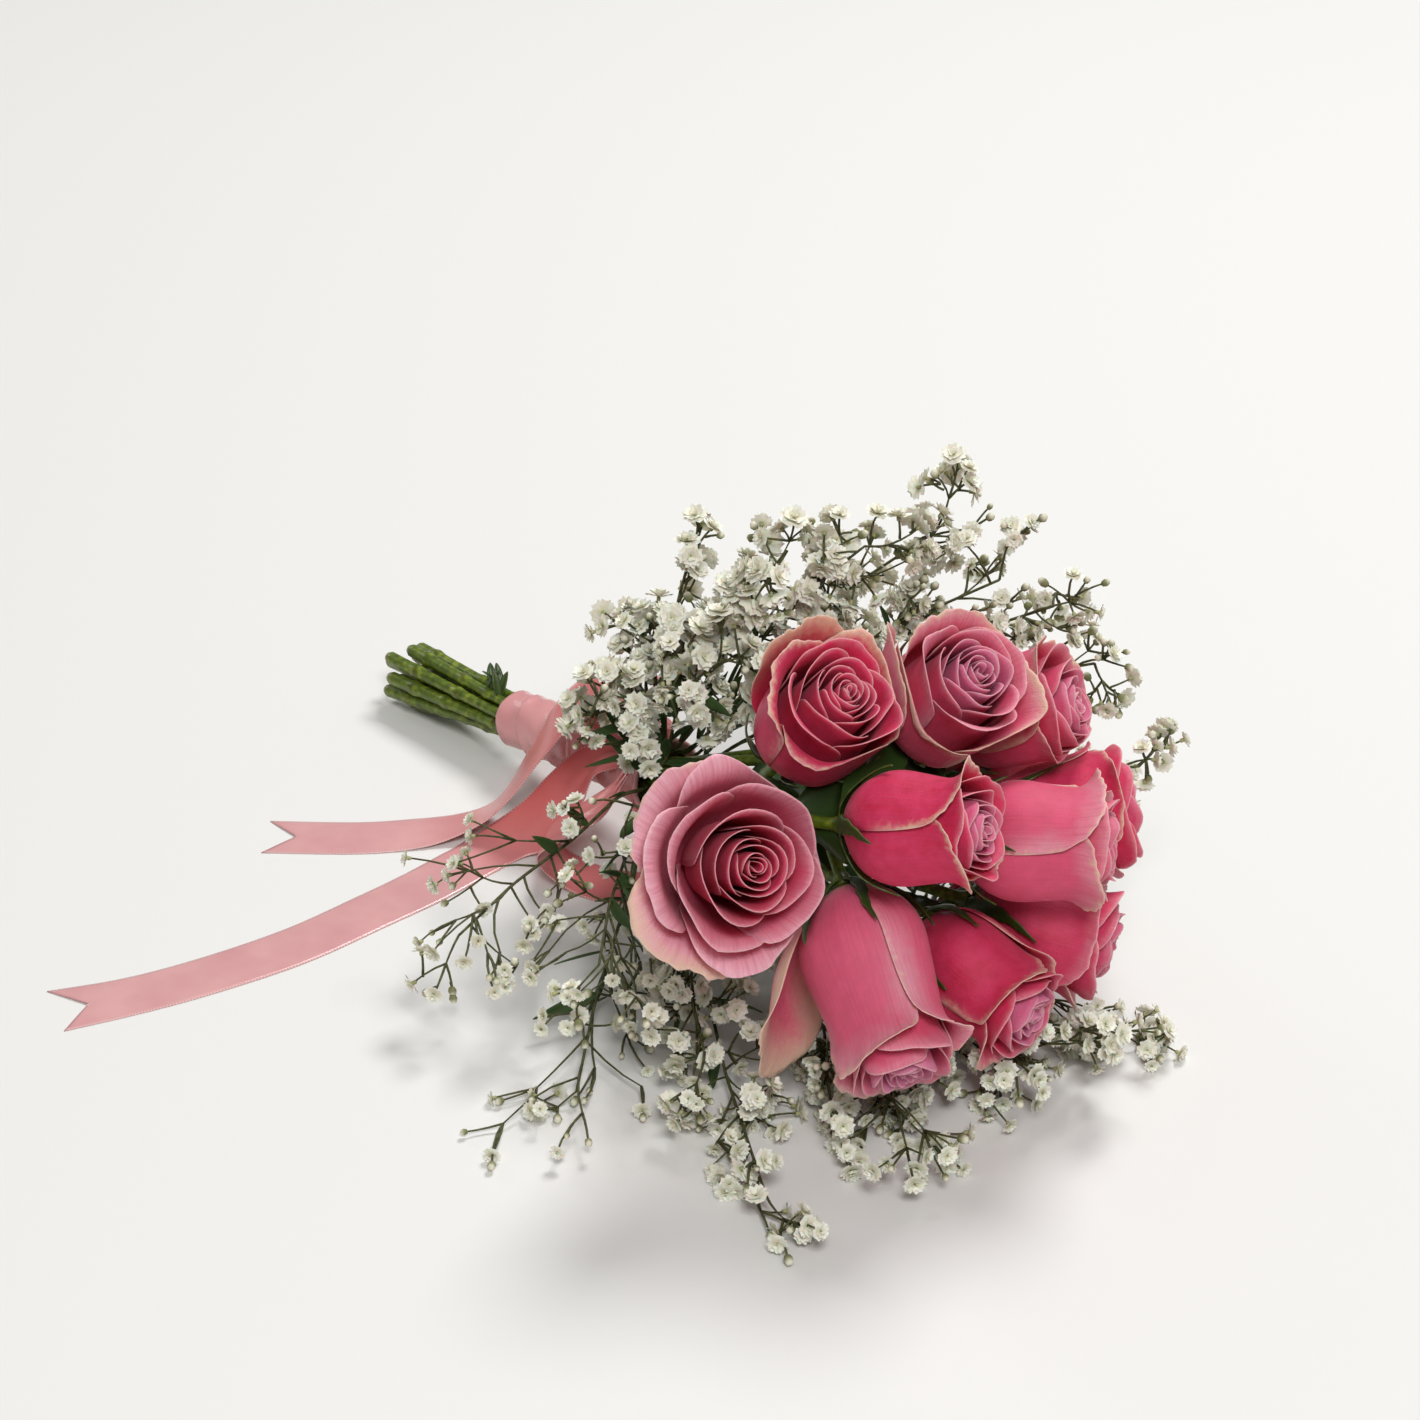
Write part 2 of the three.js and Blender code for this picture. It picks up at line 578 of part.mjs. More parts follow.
// Each stem runs from its cut end through the binding and fans out to its bloom. Stems that
// come too close past the binding push each other apart, as they do in the hand.
const CALYX_LENGTH = 8;
const STEM_SPACING = 2 * STEM_RADIUS + 1.4;
const SETTLE_ROUNDS = 60;
const FAN_STEPS = 4;
function stemPath(rose, index) {
  const { ring, angle } = places[index];
  const cut = STEM_END.clone().addScaledVector(HANDLE, mix(-9, 9, draw(index + 40)));
  const seat = rose.base.clone().addScaledVector(rose.axis, -SEAT_GAP);
  const calyx = seat.clone().addScaledVector(rose.axis, -CALYX_LENGTH);
  const start = around(NECK, angle, ring);
  const leaving = start.clone().addScaledVector(HEADING, 14);
  const below = seat.clone().addScaledVector(rose.axis, -30);
  const fan = new THREE.CatmullRomCurve3([start, leaving, below, calyx], false, 'catmullrom', 0.5)
    .getPoints(3 * FAN_STEPS);
  return [
    around(cut, angle + HANDLE_TWIST, ring * CUT_END_SPREAD),
    around(WRAP_END, angle + HANDLE_TWIST * 0.35, ring),
    fan[0],
    fan[FAN_STEPS],
    ...[0.4, 0.8].map((share) => fan[FAN_STEPS].clone().lerp(fan[2 * FAN_STEPS], share)),
    fan[2 * FAN_STEPS],
    calyx,
    seat,
  ];
}
// Pushes a point out of the space that the blooms take up, apart from its own bloom
function offBlooms(point, radius, own) {
  for (const rose of roses) {
    if (rose === own) continue;
    const along = Math.min(1, Math.max(0, point.clone().sub(rose.base).dot(rose.axis) / rose.height));
    const off = point.clone().sub(rose.base).addScaledVector(rose.axis, -along * rose.height);
    const keep = mix(7, reach(rose) + 2, ease(along * 2.4)) + radius;
    const distance = off.length();
    if (distance < keep) point.addScaledVector(off, (keep - distance) / Math.max(distance, 0.1));
  }
  return point;
}
const FIRST_FREE = 4;
const FIXED_END = 2;
const isFree = (path, k) => k >= FIRST_FREE && k < path.length - FIXED_END;
function settle(paths) {
  for (let round = 0; round < SETTLE_ROUNDS; round += 1) {
    for (let a = 0; a < paths.length; a += 1) {
      for (let b = a + 1; b < paths.length; b += 1) pushApart(paths[a], paths[b]);
      paths[a].forEach((p, k) => {
        if (isFree(paths[a], k)) offBlooms(p, STEM_RADIUS + 0.6, roses[a]);
      });
    }
  }
  return paths;
}
function pushApart(first, second) {
  for (let i = FIRST_FREE - 1; i < first.length - 1; i += 1) {
    for (let j = FIRST_FREE - 1; j < second.length - 1; j += 1) {
      const [s, t] = nearestShares(first[i], first[i + 1], second[j], second[j + 1]);
      const off = second[j].clone().lerp(second[j + 1], t).sub(first[i].clone().lerp(first[i + 1], s));
      const short = STEM_SPACING - off.length();
      if (short <= 0) continue;
      off.setLength(short * 0.6);
      if (isFree(first, i)) first[i].addScaledVector(off, s - 1);
      if (isFree(first, i + 1)) first[i + 1].addScaledVector(off, -s);
      if (isFree(second, j)) second[j].addScaledVector(off, 1 - t);
      if (isFree(second, j + 1)) second[j + 1].addScaledVector(off, t);
    }
  }
}
const stemPaths = settle(roses.map(stemPath));

// Five narrow sepals grow out of the calyx and follow the outside of the bloom's bowl. Each
// ring of a sepal has two edges and a keel on the outer side. There is none where a loose
// petal hangs or where a neighbouring bloom presses hard.
const SEPAL_REACH = 3.4;
const SEPAL_RINGS = [[0.16, 2.5], [0.34, 2.3], [0.56, 0]];
const SEPAL_KEEL = 1.2;
const MOST_SHIFT = 1.5;
const GUARD_ROOM = radians(50);
function sepalRings(rose, turn, planes) {
  const outermost = petalMeasures(rose, 1, turn);
  const belly = rose.belly + SEPAL_REACH;
  const cling = { ...outermost, curl: outermost.lean / 2, bowl: (belly - BASE_RADIUS) / 0.592, length: 50 };
  const apart = (guard) => Math.abs(Math.atan2(Math.sin(turn - guard), Math.cos(turn - guard)));
  const underGuard = rose.guards.some(([degrees]) => apart(radians(degrees)) < GUARD_ROOM);
  let shift = 0;
  const rings = SEPAL_RINGS.map(([share, halfWidth]) => {
    const [[out, up]] = petalProfile(cling, [share]);
    const point = (side, further) => {
      const angle = turn + side * halfWidth / out;
      const free = onBloom(rose, out + further, up - 2.4, angle);
      const pressed = press(free.clone(), planes, 0.9);
      shift = Math.max(shift, pressed.distanceTo(free));
      return pressed;
    };
    return halfWidth === 0 ? [point(0, 0)] : [point(-1, 0), point(0, SEPAL_KEEL), point(1, 0)];
  });
  return shift < MOST_SHIFT && !underGuard ? rings : null;
}

const STEM_SIDES = 5;
function stem(rose, index) {
  const path = stemPaths[index];
  const radii = path.map((_, k) => STEM_RADIUS * (k < path.length - 1 ? 1 : 2));
  const body = { corners: [], triangles: [] };
  const spans = grow(body, tubeRings(path, radii, STEM_SIDES));
  const calyx = spans[spans.length - 1];
  const planes = pressPlanes(rose);
  for (let k = 0; k < STEM_SIDES; k += 1) {
    const facet = calyx + 2 * k;
    const [a, b, c] = body.triangles[facet].map((corner) => body.corners[corner]);
    const middle = a.clone().add(b).add(c).multiplyScalar(1 / 3).sub(rose.base);
    const turn = Math.atan2(middle.dot(rose.left), middle.dot(rose.top));
    const rings = sepalRings(rose, turn, planes);
    if (rings) grow(body, rings, openFacet(body, facet));
  }
  return finish(body);
}

// A sleeve round the bunch: rings of an outer and an inner radius along a path
function sleeve(stations, sides) {
  const rings = stations.map(({ centre, radius }) => Array.from({ length: sides }, (_, i) => (
    around(centre, 2 * Math.PI * i / sides, radius))));
  const corners = rings.flat();
  const triangles = [];
  rings.forEach((_, k) => {
    const next = (k + 1) % rings.length;
    for (let i = 0; i < sides; i += 1) {
      const j = (i + 1) % sides;
      triangles.push([k * sides + i, next * sides + i, next * sides + j]);
      triangles.push([k * sides + i, next * sides + j, k * sides + j]);
    }
  });
  return solid(corners, triangles);
}

const BUNCH_RADIUS = OUTER_RING + STEM_RADIUS;
const BINDING_WIDTH = 12;
function binding() {
  const at = (shift) => NECK.clone().addScaledVector(HANDLE, shift);
  const inner = BUNCH_RADIUS + 0.5;
  const outer = inner + 0.9;
  return sleeve([
    { centre: at(-BINDING_WIDTH), radius: inner },
    { centre: at(0), radius: inner },
    { centre: at(0), radius: outer },
    { centre: at(-BINDING_WIDTH), radius: outer },
  ], 16);
}

// Along the wrap: how far each ring lies from the neck towards the cut ends, and its inner
// radius. It hugs the stems, steps over the binding and opens into a mouth for the sprays.
const WRAP_RINGS = [[90, 10.8], [20, 10.8], [13.5, 12.1], [-2, 12.5], [-11, 16.2]];
function wrap() {
  const ringAt = ([back, radius], extra) => {
    const way = back > 0 ? HANDLE : HEADING;
    return { centre: NECK.clone().addScaledVector(way, -back), radius: radius + extra };
  };
  return sleeve([
    ...WRAP_RINGS.map((ring) => ringAt(ring, 0)),
    ...[...WRAP_RINGS].reverse().map((ring) => ringAt(ring, RIBBON_THICKNESS)),
  ], 16);
}

// The knot: a gathered lump with folds, sitting on the wrap
const KNOT = v(-23, -106.5, 52.1);
const KNOT_SIZE = v(8.2, 7.6, 5.4);
const FOLD_DEPTH = 0.1;
function knot() {
  const geometry = new THREE.SphereGeometry(1, 10, 6);
  const position = geometry.attributes.position;
  for (let k = 0; k < position.count; k += 1) {
    const p = v(position.getX(k), position.getY(k), position.getZ(k));
    const fold = 1 + FOLD_DEPTH * Math.cos(5 * Math.atan2(p.z, p.x)) * (1 - p.y * p.y);
    position.setXYZ(k, p.x * KNOT_SIZE.x * fold, p.z * KNOT_SIZE.y * fold, p.y * KNOT_SIZE.z);
  }
  geometry.translate(KNOT.x, KNOT.y, KNOT.z);
  return toSolid(geometry);
}

// A ribbon between two edges. The tail's end is cut in a V: its middle is drawn back.
function ribbon(pairs, steps, notched) {
  const edge = (side) => new THREE.CatmullRomCurve3(pairs.map((pair) => v(...pair[side])), false, 'catmullrom', 0.5)
    .getPoints(steps);
  const [a, b] = [edge(0), edge(1)];
  const rows = a.map((p, k) => [p, p.clone().lerp(b[k], 0.5), b[k]]);
  if (notched) {
    const last = rows[rows.length - 1];
    const back = rows[rows.length - 2][1].clone().sub(last[1]).normalize();
    last[1].addScaledVector(back, NOTCH_DEPTH);
  }
  rows.flat().forEach((p) => {
    p.z = Math.max(p.z, 0) + RIBBON_THICKNESS / 2;
  });
  return blade(rows, RIBBON_THICKNESS);
}

// Where the sprays start, in a ring inside the wrap's mouth, and the way each one heads
const sprays = SPRAYS.map((spray) => {
  const to = v(...spray.to);
  const way = to.clone().sub(NECK).normalize();
  const off = way.clone().addScaledVector(HEADING, -way.dot(HEADING));
  return { ...spray, to, way, angle: Math.atan2(off.dot(RISE), off.dot(SIDE)) };
});
const byAngle = [...sprays].sort((a, b) => a.angle - b.angle);
byAngle.forEach((spray, k) => {
  spray.mouth = around(NECK.clone().addScaledVector(HEADING, MOUTH_DEPTH), mouthAngle(k), MOUTH_RADIUS);
});
function mouthAngle(k) {
  const step = 2 * Math.PI / byAngle.length;
  const shift = byAngle.reduce((sum, spray, i) => sum + spray.angle - i * step, 0) / byAngle.length;
  return shift + k * step;
}

// Keeps a point of a spray above the table, outside the blooms and in the spray's own sector
function clear(point, spray, radius) {
  for (let round = 0; round < 6; round += 1) {
    offBlooms(point, radius);
    for (const other of sprays) {
      if (other === spray) continue;
      const normal = other.way.clone().sub(spray.way).normalize();
      const past = point.clone().sub(NECK).dot(normal) + radius + 0.3;
      if (past > 0) point.addScaledVector(normal, -past);
    }
    point.z = Math.max(point.z, radius);
  }
  return point;
}

// Bends a spray's stalk clear of the stems: only the points after the first two give way
const STALK_SPACING = STEM_RADIUS + STALK_RADIUS + 0.5;
const CLEAR_ROUNDS = 12;
function offStems(path, spray) {
  for (let round = 0; round < CLEAR_ROUNDS; round += 1) {
    for (const other of stemPaths) {
      for (let i = 1; i < path.length - 1; i += 1) {
        for (let j = 2; j < other.length - 1; j += 1) {
          const [s, t] = nearestShares(path[i], path[i + 1], other[j], other[j + 1]);
          const off = path[i].clone().lerp(path[i + 1], s).sub(other[j].clone().lerp(other[j + 1], t));
          const short = STALK_SPACING - off.length();
          if (short <= 0) continue;
          off.setLength(short);
          if (i > 1) path[i].addScaledVector(off, 1 - s);
          path[i + 1].addScaledVector(off, s);
        }
      }
    }
    path.forEach((p, k) => {
      if (k > 1) clear(p, spray, 1.2);
    });
  }
  return path;
}

const unit = (k) => {
  const z = 2 * draw(k) - 1;
  const angle = 2 * Math.PI * draw(k + 500);
  const flat = Math.sqrt(1 - z * z);
  return v(flat * Math.cos(angle), flat * Math.sin(angle), z);
};

// The rings of a floret, a small cup on five corners, or of a bud, at the end of a twig. The
// first of them is turned to fit the facet that the twig grows from.
function endRings(facet, tip, isBud) {
  const from = middleOf(facet);
  const way = tip.clone().sub(from).normalize();
  const side = facet[0].clone().sub(from);
  side.addScaledVector(way, -side.dot(way)).normalize();
  const rise = way.clone().cross(side);
  const at = (length) => tip.clone().addScaledVector(way, length);
  const neck = [0, 1, 2].map((k) => at(isBud ? -1.4 : -2.4)
    .addScaledVector(side, TWIG_RADIUS * Math.cos(2 * Math.PI * k / 3))
    .addScaledVector(rise, TWIG_RADIUS * Math.sin(2 * Math.PI * k / 3)));
  if (isBud) return [neck, disc(at(0), way, BUD_RADIUS, 3), [at(1.6)]];
  return [neck, disc(at(0.7), way, FLORET_RADIUS, 5), [at(1.7)]];
}
const middleOf = ([a, b, c]) => a.clone().add(b).add(c).multiplyScalar(1 / 3);
const normalOf = ([a, b, c]) => b.clone().sub(a).cross(c.clone().sub(a)).normalize();

// A branch of a spray: a twig that ends in a small point with three facets. Two florets and a
// bud grow out of the facets, as far as there is room for them.
const FORK_RADIUS = 0.9;
const FORK_POINT = 1;
const LEAST_FACING = 0.25;
const LEANS = [0.45, 0.7, 0.8];
const TIP_ROUNDS = 12;
function branch(root, fork, spray, seed) {
  const aim = fork.clone().sub(root).normalize();
  const body = { corners: [], triangles: [] };
  const point = fork.clone().addScaledVector(aim, FORK_POINT);
  const spans = grow(body, [disc(root, aim, 0.6, 3), disc(fork, aim, FORK_RADIUS, 3), [point]]);
  const facets = [0, 1, 2].map((c) => body.triangles[spans[1] + c].map((corner) => body.corners[corner]));
  const tips = LEANS.map((lean, c) => {
    const out = middleOf(facets[c]).sub(fork);
    out.addScaledVector(aim, -out.dot(aim)).normalize();
    const way = aim.clone().multiplyScalar(Math.cos(lean)).addScaledVector(out, Math.sin(lean));
    return fork.clone().addScaledVector(way, spray.spread * mix(0.4, 0.7, draw(seed + 3 * c + 1)));
  });
  for (let round = 0; round < TIP_ROUNDS; round += 1) {
    tips.forEach((tip, c) => {
      tips.forEach((other, d) => {
        if (c === d) return;
        const [, along] = nearestShares(tip, tip.clone().add(v(0, 0, 0.01)), fork, other);
        const off = tip.clone().sub(fork.clone().lerp(other, along));
        const keep = along > 0.85 ? 2 * FLORET_RADIUS + 0.8 : FLORET_RADIUS + 1.6;
        const distance = off.length();
        if (distance < keep) tip.addScaledVector(off, (keep - distance) / Math.max(distance, 0.1));
      });
      clear(tip, spray, c === 2 ? BUD_RADIUS : FLORET_RADIUS);
    });
  }
  facets.forEach((facet, c) => {
    const way = tips[c].clone().sub(middleOf(facet)).normalize();
    const crowded = tips.slice(0, c).some((other) => other.distanceTo(tips[c]) < 2 * FLORET_RADIUS);
    if (crowded || way.dot(normalOf(facet)) < LEAST_FACING) return;
    grow(body, endRings(facet, tips[c], c === 2), openFacet(body, spans[1] + c));
  });
  return finish(body);
}

const BRANCHES = 3;
const COURSE_STEPS = 5;
function sprayBody(spray, index) {
  const seed = index * 100;
  const length = spray.to.distanceTo(spray.mouth);
  const middle = spray.mouth.clone().lerp(spray.to, 0.5).add(v(0, 0, spray.bow));
  const past = spray.mouth.clone().addScaledVector(HEADING, PAST_MOUTH);
  const leaving = past.clone().addScaledVector(HEADING, 0.08 * length);
  const course = new THREE.CatmullRomCurve3([past, leaving, middle, spray.to], false, 'catmullrom', 0.5);
  const main = offStems([spray.mouth, past, ...course.getPoints(COURSE_STEPS).slice(2)], spray);
  const thickness = main.map((_, k) => mix(STALK_RADIUS, TWIG_RADIUS, k / COURSE_STEPS));
  const body = { corners: [], triangles: [] };
  grow(body, tubeRings(main, thickness, 3));
  const pieces = [finish(body)];
  for (let b = 0; b < BRANCHES; b += 1) {
    const root = main[COURSE_STEPS - 2 + b];
    const aim = unit(seed + b * 10).addScaledVector(spray.way, 0.7).normalize();
    const reachOut = spray.spread * mix(0.4, 0.65, draw(seed + b));
    const fork = clear(root.clone().addScaledVector(aim, reachOut), spray, 1.2);
    pieces.push(branch(root, fork, spray, seed + b * 10));
  }
  return fuse(pieces);
}

const bouquet = new THREE.Group();
bouquet.position.set(-CENTRE_X, -CENTRE_Y, 0);
function place(name, body, material) {
  const mesh = new THREE.Mesh(toGeometry(body), material);
  mesh.name = name;
  bouquet.add(mesh);
}
const number = (k) => String(k + 1).padStart(2, '0');

roses.forEach((rose, k) => place(`rose_bloom_${number(k)}`, bloom(rose, k), PETAL));
roses.forEach((rose, k) => place(`rose_stem_${number(k)}`, stem(rose, k), STEM));
sprays.forEach((spray, k) => place(`gypsophila_spray_${number(k)}`, sprayBody(spray, k), SPRAY));
place('stem_binding', binding(), TAPE);
place('ribbon_wrap', wrap(), SATIN);
place('ribbon_knot', knot(), SATIN);
place('ribbon_loop_upper', ribbon(UPPER_LOOP, 12, false), SATIN);
place('ribbon_loop_lower', ribbon(LOWER_LOOP, 18, false), SATIN);
place('ribbon_tail_short', ribbon(SHORT_TAIL, 18, true), SATIN);
place('ribbon_tail_long', ribbon(LONG_TAIL, 18, true), SATIN);

export default bouquet;
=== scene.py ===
# %% [markdown]
# # A bridal bouquet
#
# Twelve pink roses and a collar of baby's breath, tied with satin ribbon and laid on a table.
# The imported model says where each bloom, stem, spray and ribbon is. This lesson repeats its
# rules with far more points, so that petals get rims, florets get petals and the ribbon gets
# its stitched edge, while every piece stays where its solid is.

import math

import bpy
import numpy as np
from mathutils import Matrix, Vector


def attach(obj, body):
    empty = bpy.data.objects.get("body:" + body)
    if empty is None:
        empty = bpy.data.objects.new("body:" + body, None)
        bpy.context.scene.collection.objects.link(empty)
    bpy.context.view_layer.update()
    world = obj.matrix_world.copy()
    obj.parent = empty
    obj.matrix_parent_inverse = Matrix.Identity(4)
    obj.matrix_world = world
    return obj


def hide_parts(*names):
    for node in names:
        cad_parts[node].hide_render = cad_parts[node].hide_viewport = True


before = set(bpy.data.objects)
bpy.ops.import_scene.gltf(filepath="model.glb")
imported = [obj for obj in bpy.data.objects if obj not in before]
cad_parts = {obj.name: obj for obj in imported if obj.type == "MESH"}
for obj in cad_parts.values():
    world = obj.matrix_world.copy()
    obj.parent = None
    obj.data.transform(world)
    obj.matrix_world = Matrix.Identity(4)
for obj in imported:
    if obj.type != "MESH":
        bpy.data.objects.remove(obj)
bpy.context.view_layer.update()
print("solids in the frame:", len(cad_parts))

# %% [markdown]
# ## Points, draws and meshes
#
# All places are worked out in millimetres in the working frame that the roses were placed in,
# and turned to metres at the very end. A draw is a number between 0 and 1 that looks random
# but is the same in each run.

# %% Numbers that every piece uses
MM = 0.001
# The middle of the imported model, in the working frame
CENTRE = np.array([-41.45, -179.4, 0.0])
# The middle of the flowers, where they are seen from, and the directions of that view
EYE = Vector((0, -1360, 785))
HEAD = Vector((65, -258, 90))
NEAR = (EYE - HEAD).normalized()
RIGHT = Vector((1, 0, 0))
UP = NEAR.cross(RIGHT).normalized()
# A way that rises more steeply than this is measured from RIGHT and not from straight up
STEEP = 0.9
TABLE_SKIN = 0.05


def draw(k):
    """The fractional part of a large sine: the same number for the same k."""
    s = math.sin(k * 12.9898 + 78.233) * 43758.5453
    return s - math.floor(s)


def draws(k):
    """The same draw for a whole array of keys."""
    s = np.sin(np.asarray(k, float) * 12.9898 + 78.233) * 43758.5453
    return s - np.floor(s)


def mix(a, b, t):
    """The value that lies the share t of the way from a to b."""
    return a + (b - a) * t


def ease(t):
    """0 below 0, 1 above 1, and an S curve 3t^2 - 2t^3 between."""
    c = np.clip(t, 0, 1)
    return c * c * (3 - 2 * c)


def unit(k):
    """A direction drawn evenly over the sphere."""
    z = 2 * draw(k) - 1
    angle = 2 * math.pi * draw(k + 500)
    flat = math.sqrt(1 - z * z)
    return Vector((flat * math.cos(angle), flat * math.sin(angle), z))


# %% Meshes from grids
def grid_faces(rows, columns, ring=False, start=0):
    """Quads between neighbours on a grid of points that is stored row by row. A ring closes
    the last column to the first."""
    j = np.arange(rows - 1)[:, None]
    i = np.arange(columns if ring else columns - 1)[None, :]
    k = (i + 1) % columns
    quads = np.stack([j * columns + i, j * columns + k, (j + 1) * columns + k, (j + 1) * columns + i], -1)
    return quads.reshape(-1, 4) + start


def capped_faces(rings, sides):
    """Quads between rings that are stored one after another, and triangles from the first and
    the last ring to the two poles stored after them. A triangle is a quad with one corner twice."""
    i = np.arange(sides)
    k = (i + 1) % sides
    end = (rings - 1) * sides
    first, last = (np.full(sides, rings * sides + pole) for pole in (0, 1))
    return np.concatenate([grid_faces(rings, sides, ring=True),
                           np.stack([k, i, first, first], -1),
                           np.stack([end + i, end + k, last, last], -1)])


def normals_of(points):
    """Unit normals of a grid: the difference along the columns crossed with that along the rows."""
    normal = np.cross(np.gradient(points, axis=1), np.gradient(points, axis=0))
    return normal / np.maximum(np.linalg.norm(normal, axis=-1, keepdims=True), 1e-9)


def shell(points, thickness, **marks):
    """A thin closed shell round a grid: one face half the thickness out along the normals, one
    as far in, and a strip of quads that joins them round the rim."""
    rows, columns, _ = points.shape
    half = normals_of(points) * np.broadcast_to(thickness, (rows, columns))[..., None] / 2
    count = rows * columns
    index = np.arange(count).reshape(rows, columns)
    rim = np.concatenate([index[0, :-1], index[:-1, -1], index[-1, :0:-1], index[:0:-1, 0]])
    ahead = np.roll(rim, -1)
    front = grid_faces(rows, columns)
    faces = np.concatenate([front, front[:, ::-1] + count,
                            np.stack([rim, rim + count, ahead + count, ahead], -1)])
    corners = np.concatenate([(points + half).reshape(-1, 3), (points - half).reshape(-1, 3)])
    spread = {key: np.tile(np.broadcast_to(value, (rows, columns)).ravel(), 2)
              for key, value in marks.items()}
    return {"corners": corners, "faces": faces, **spread}


def smooth_path(points, step, window):
    """A path sampled every step millimetres and then averaged over a window, which rounds its
    corners and keeps its ends."""
    points = np.asarray(points, float)
    lengths = np.concatenate([[0], np.cumsum(np.linalg.norm(np.diff(points, axis=0), axis=1))])
    count = max(3, int(lengths[-1] / step) + 1)
    at = np.linspace(0, lengths[-1], count)
    path = np.stack([np.interp(at, lengths, points[:, k]) for k in range(3)], -1)
    width = 2 * int(window / step / 2) + 1
    if width < 3 or count < 2 * width:
        return path, at
    half = width // 2
    lead = path[0] + (path[0] - path[1]) * np.arange(half, 0, -1)[:, None]
    tail = path[-1] + (path[-1] - path[-2]) * np.arange(1, half + 1)[:, None]
    padded = np.concatenate([lead, path, tail])
    kernel = np.ones(width) / width
    return np.stack([np.convolve(padded[:, k], kernel, "valid") for k in range(3)], -1), at


def tube(path, radii, sides, **marks):
    """A round tube: at each point of the path a ring across the way, turned as little as
    possible from a fixed upright, and triangles that close it at both ends of the path."""
    path = np.asarray(path, float)
    count = len(path)
    way = np.gradient(path, axis=0)
    way /= np.linalg.norm(way, axis=1, keepdims=True)
    side = np.cross([1.0, 0, 0] if abs(way.mean(0)[2]) > STEEP else [0, 0, 1.0], way)
    side /= np.maximum(np.linalg.norm(side, axis=1, keepdims=True), 1e-9)
    rise = np.cross(way, side)
    angle = np.linspace(0, 2 * math.pi, sides, endpoint=False)[:, None]
    radii = np.broadcast_to(radii, count)[:, None, None]
    ring = path[:, None] + radii * (side[:, None] * np.cos(angle) + rise[:, None] * np.sin(angle))
    corners = np.concatenate([ring.reshape(-1, 3), path[:1], path[-1:]])
    spread = {}
    for key, value in marks.items():
        value = np.broadcast_to(value, count)
        spread[key] = np.concatenate([np.repeat(value, sides), value[:1], value[-1:]])
    return {"corners": corners, "faces": capped_faces(count, sides), **spread}


def make_piece(name, parts, marks, node, material):
    """Joins parts into one smooth mesh in metres, with their marks as point attributes, and
    hides the solid it stands for."""
    counts = [len(part["corners"]) for part in parts]
    starts = np.cumsum([0] + counts[:-1])
    corners = np.concatenate([part["corners"] for part in parts])
    # What would dip into the table lies flat on it
    corners[:, 2] = np.maximum(corners[:, 2], TABLE_SKIN)
    corners = (corners - CENTRE) * MM
    faces = np.concatenate([part["faces"] + start for part, start in zip(parts, starts)])
    mesh = bpy.data.meshes.new(name)
    mesh.from_pydata(corners, [], [f[:3] if f[2] == f[3] else f for f in faces.tolist()])
    for mark in marks:
        values = [np.broadcast_to(part.get(mark, 0.0), count) for part, count in zip(parts, counts)]
        points = mesh.attributes.new(mark, "FLOAT", "POINT").data
        points.foreach_set("value", np.concatenate(values).astype(np.float32))
    mesh.polygons.foreach_set("use_smooth", np.ones(len(mesh.polygons), bool))
    mesh.materials.append(material)
    mesh.update()
    piece = bpy.data.objects.new(name, mesh)
    bpy.context.scene.collection.objects.link(piece)
    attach(piece, "root")
    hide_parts(node)
    return piece


# %% [markdown]
# ## Finishes
#
# A material starts from what the real one is. Colours are read as sRGB hex values, which are
# how a picture shows them, and turned to the linear values that the renderer adds up. The size
# of a pattern is given in millimetres, and its colours are laid over one another in turn.

# %% Colours and nodes
def linear(code):
    """An sRGB hex value as linear red, green, blue and alpha: ((c + 0.055) / 1.055) ^ 2.4,
    or c / 12.92 for the darkest."""
    values = [int(code[k:k + 2], 16) / 255 for k in (1, 3, 5)]
    return (*[((c + 0.055) / 1.055) ** 2.4 if c > 0.04045 else c / 12.92 for c in values], 1.0)


def per_metre(size):
    """The scale of a noise whose patches have this size in millimetres: how many fit a metre."""
    return 1 / (size * MM)


def add(tree, kind, inputs, settings=None, stops=None, out=None):
    """Adds a node and gives its output: the one that is named, or else the first in use. An
    input is a value or the socket that it is linked from, a setting is one of the node's own
    choices, and stops are the colours along a ramp."""
    node = tree.nodes.new("ShaderNode" + kind)
    for key, value in (settings or {}).items():
        setattr(node, key, value)
    for key, value in inputs.items():
        if isinstance(value, bpy.types.NodeSocket):
            tree.links.new(value, node.inputs[key])
        else:
            node.inputs[key].default_value = value
    for k, (place, code) in enumerate(stops or []):
        element = node.color_ramp.elements[k] if k < 2 else node.color_ramp.elements.new(place)
        element.position = place
        element.color = linear(code)
    return node.outputs[out] if out else next((socket for socket in node.outputs if socket.enabled), None)


BLEND = {"data_type": "RGBA"}
FADE = {"interpolation_type": "SMOOTHSTEP"}
TIMES = {"operation": "MULTIPLY"}
PLUS = {"operation": "ADD"}
TIMES_PLUS = {"operation": "MULTIPLY_ADD"}


def start_material(name, marks=()):
    """An empty material, its tree, the place on the piece and the marks that its points carry."""
    material = bpy.data.materials.new(name)
    material.use_nodes = True
    tree = material.node_tree
    tree.nodes.clear()
    place = add(tree, "TexCoord", {}, out="Object")
    mark = {key: add(tree, "Attribute", {}, {"attribute_name": key}, out="Fac") for key in marks}
    return material, tree, place, mark


def layered(tree, colour, layers):
    """A colour with others laid over it in turn, each as far as its share says."""
    for share, code in layers:
        colour = add(tree, "Mix", {0: share, 6: colour, 7: linear(code)}, BLEND)
    return colour


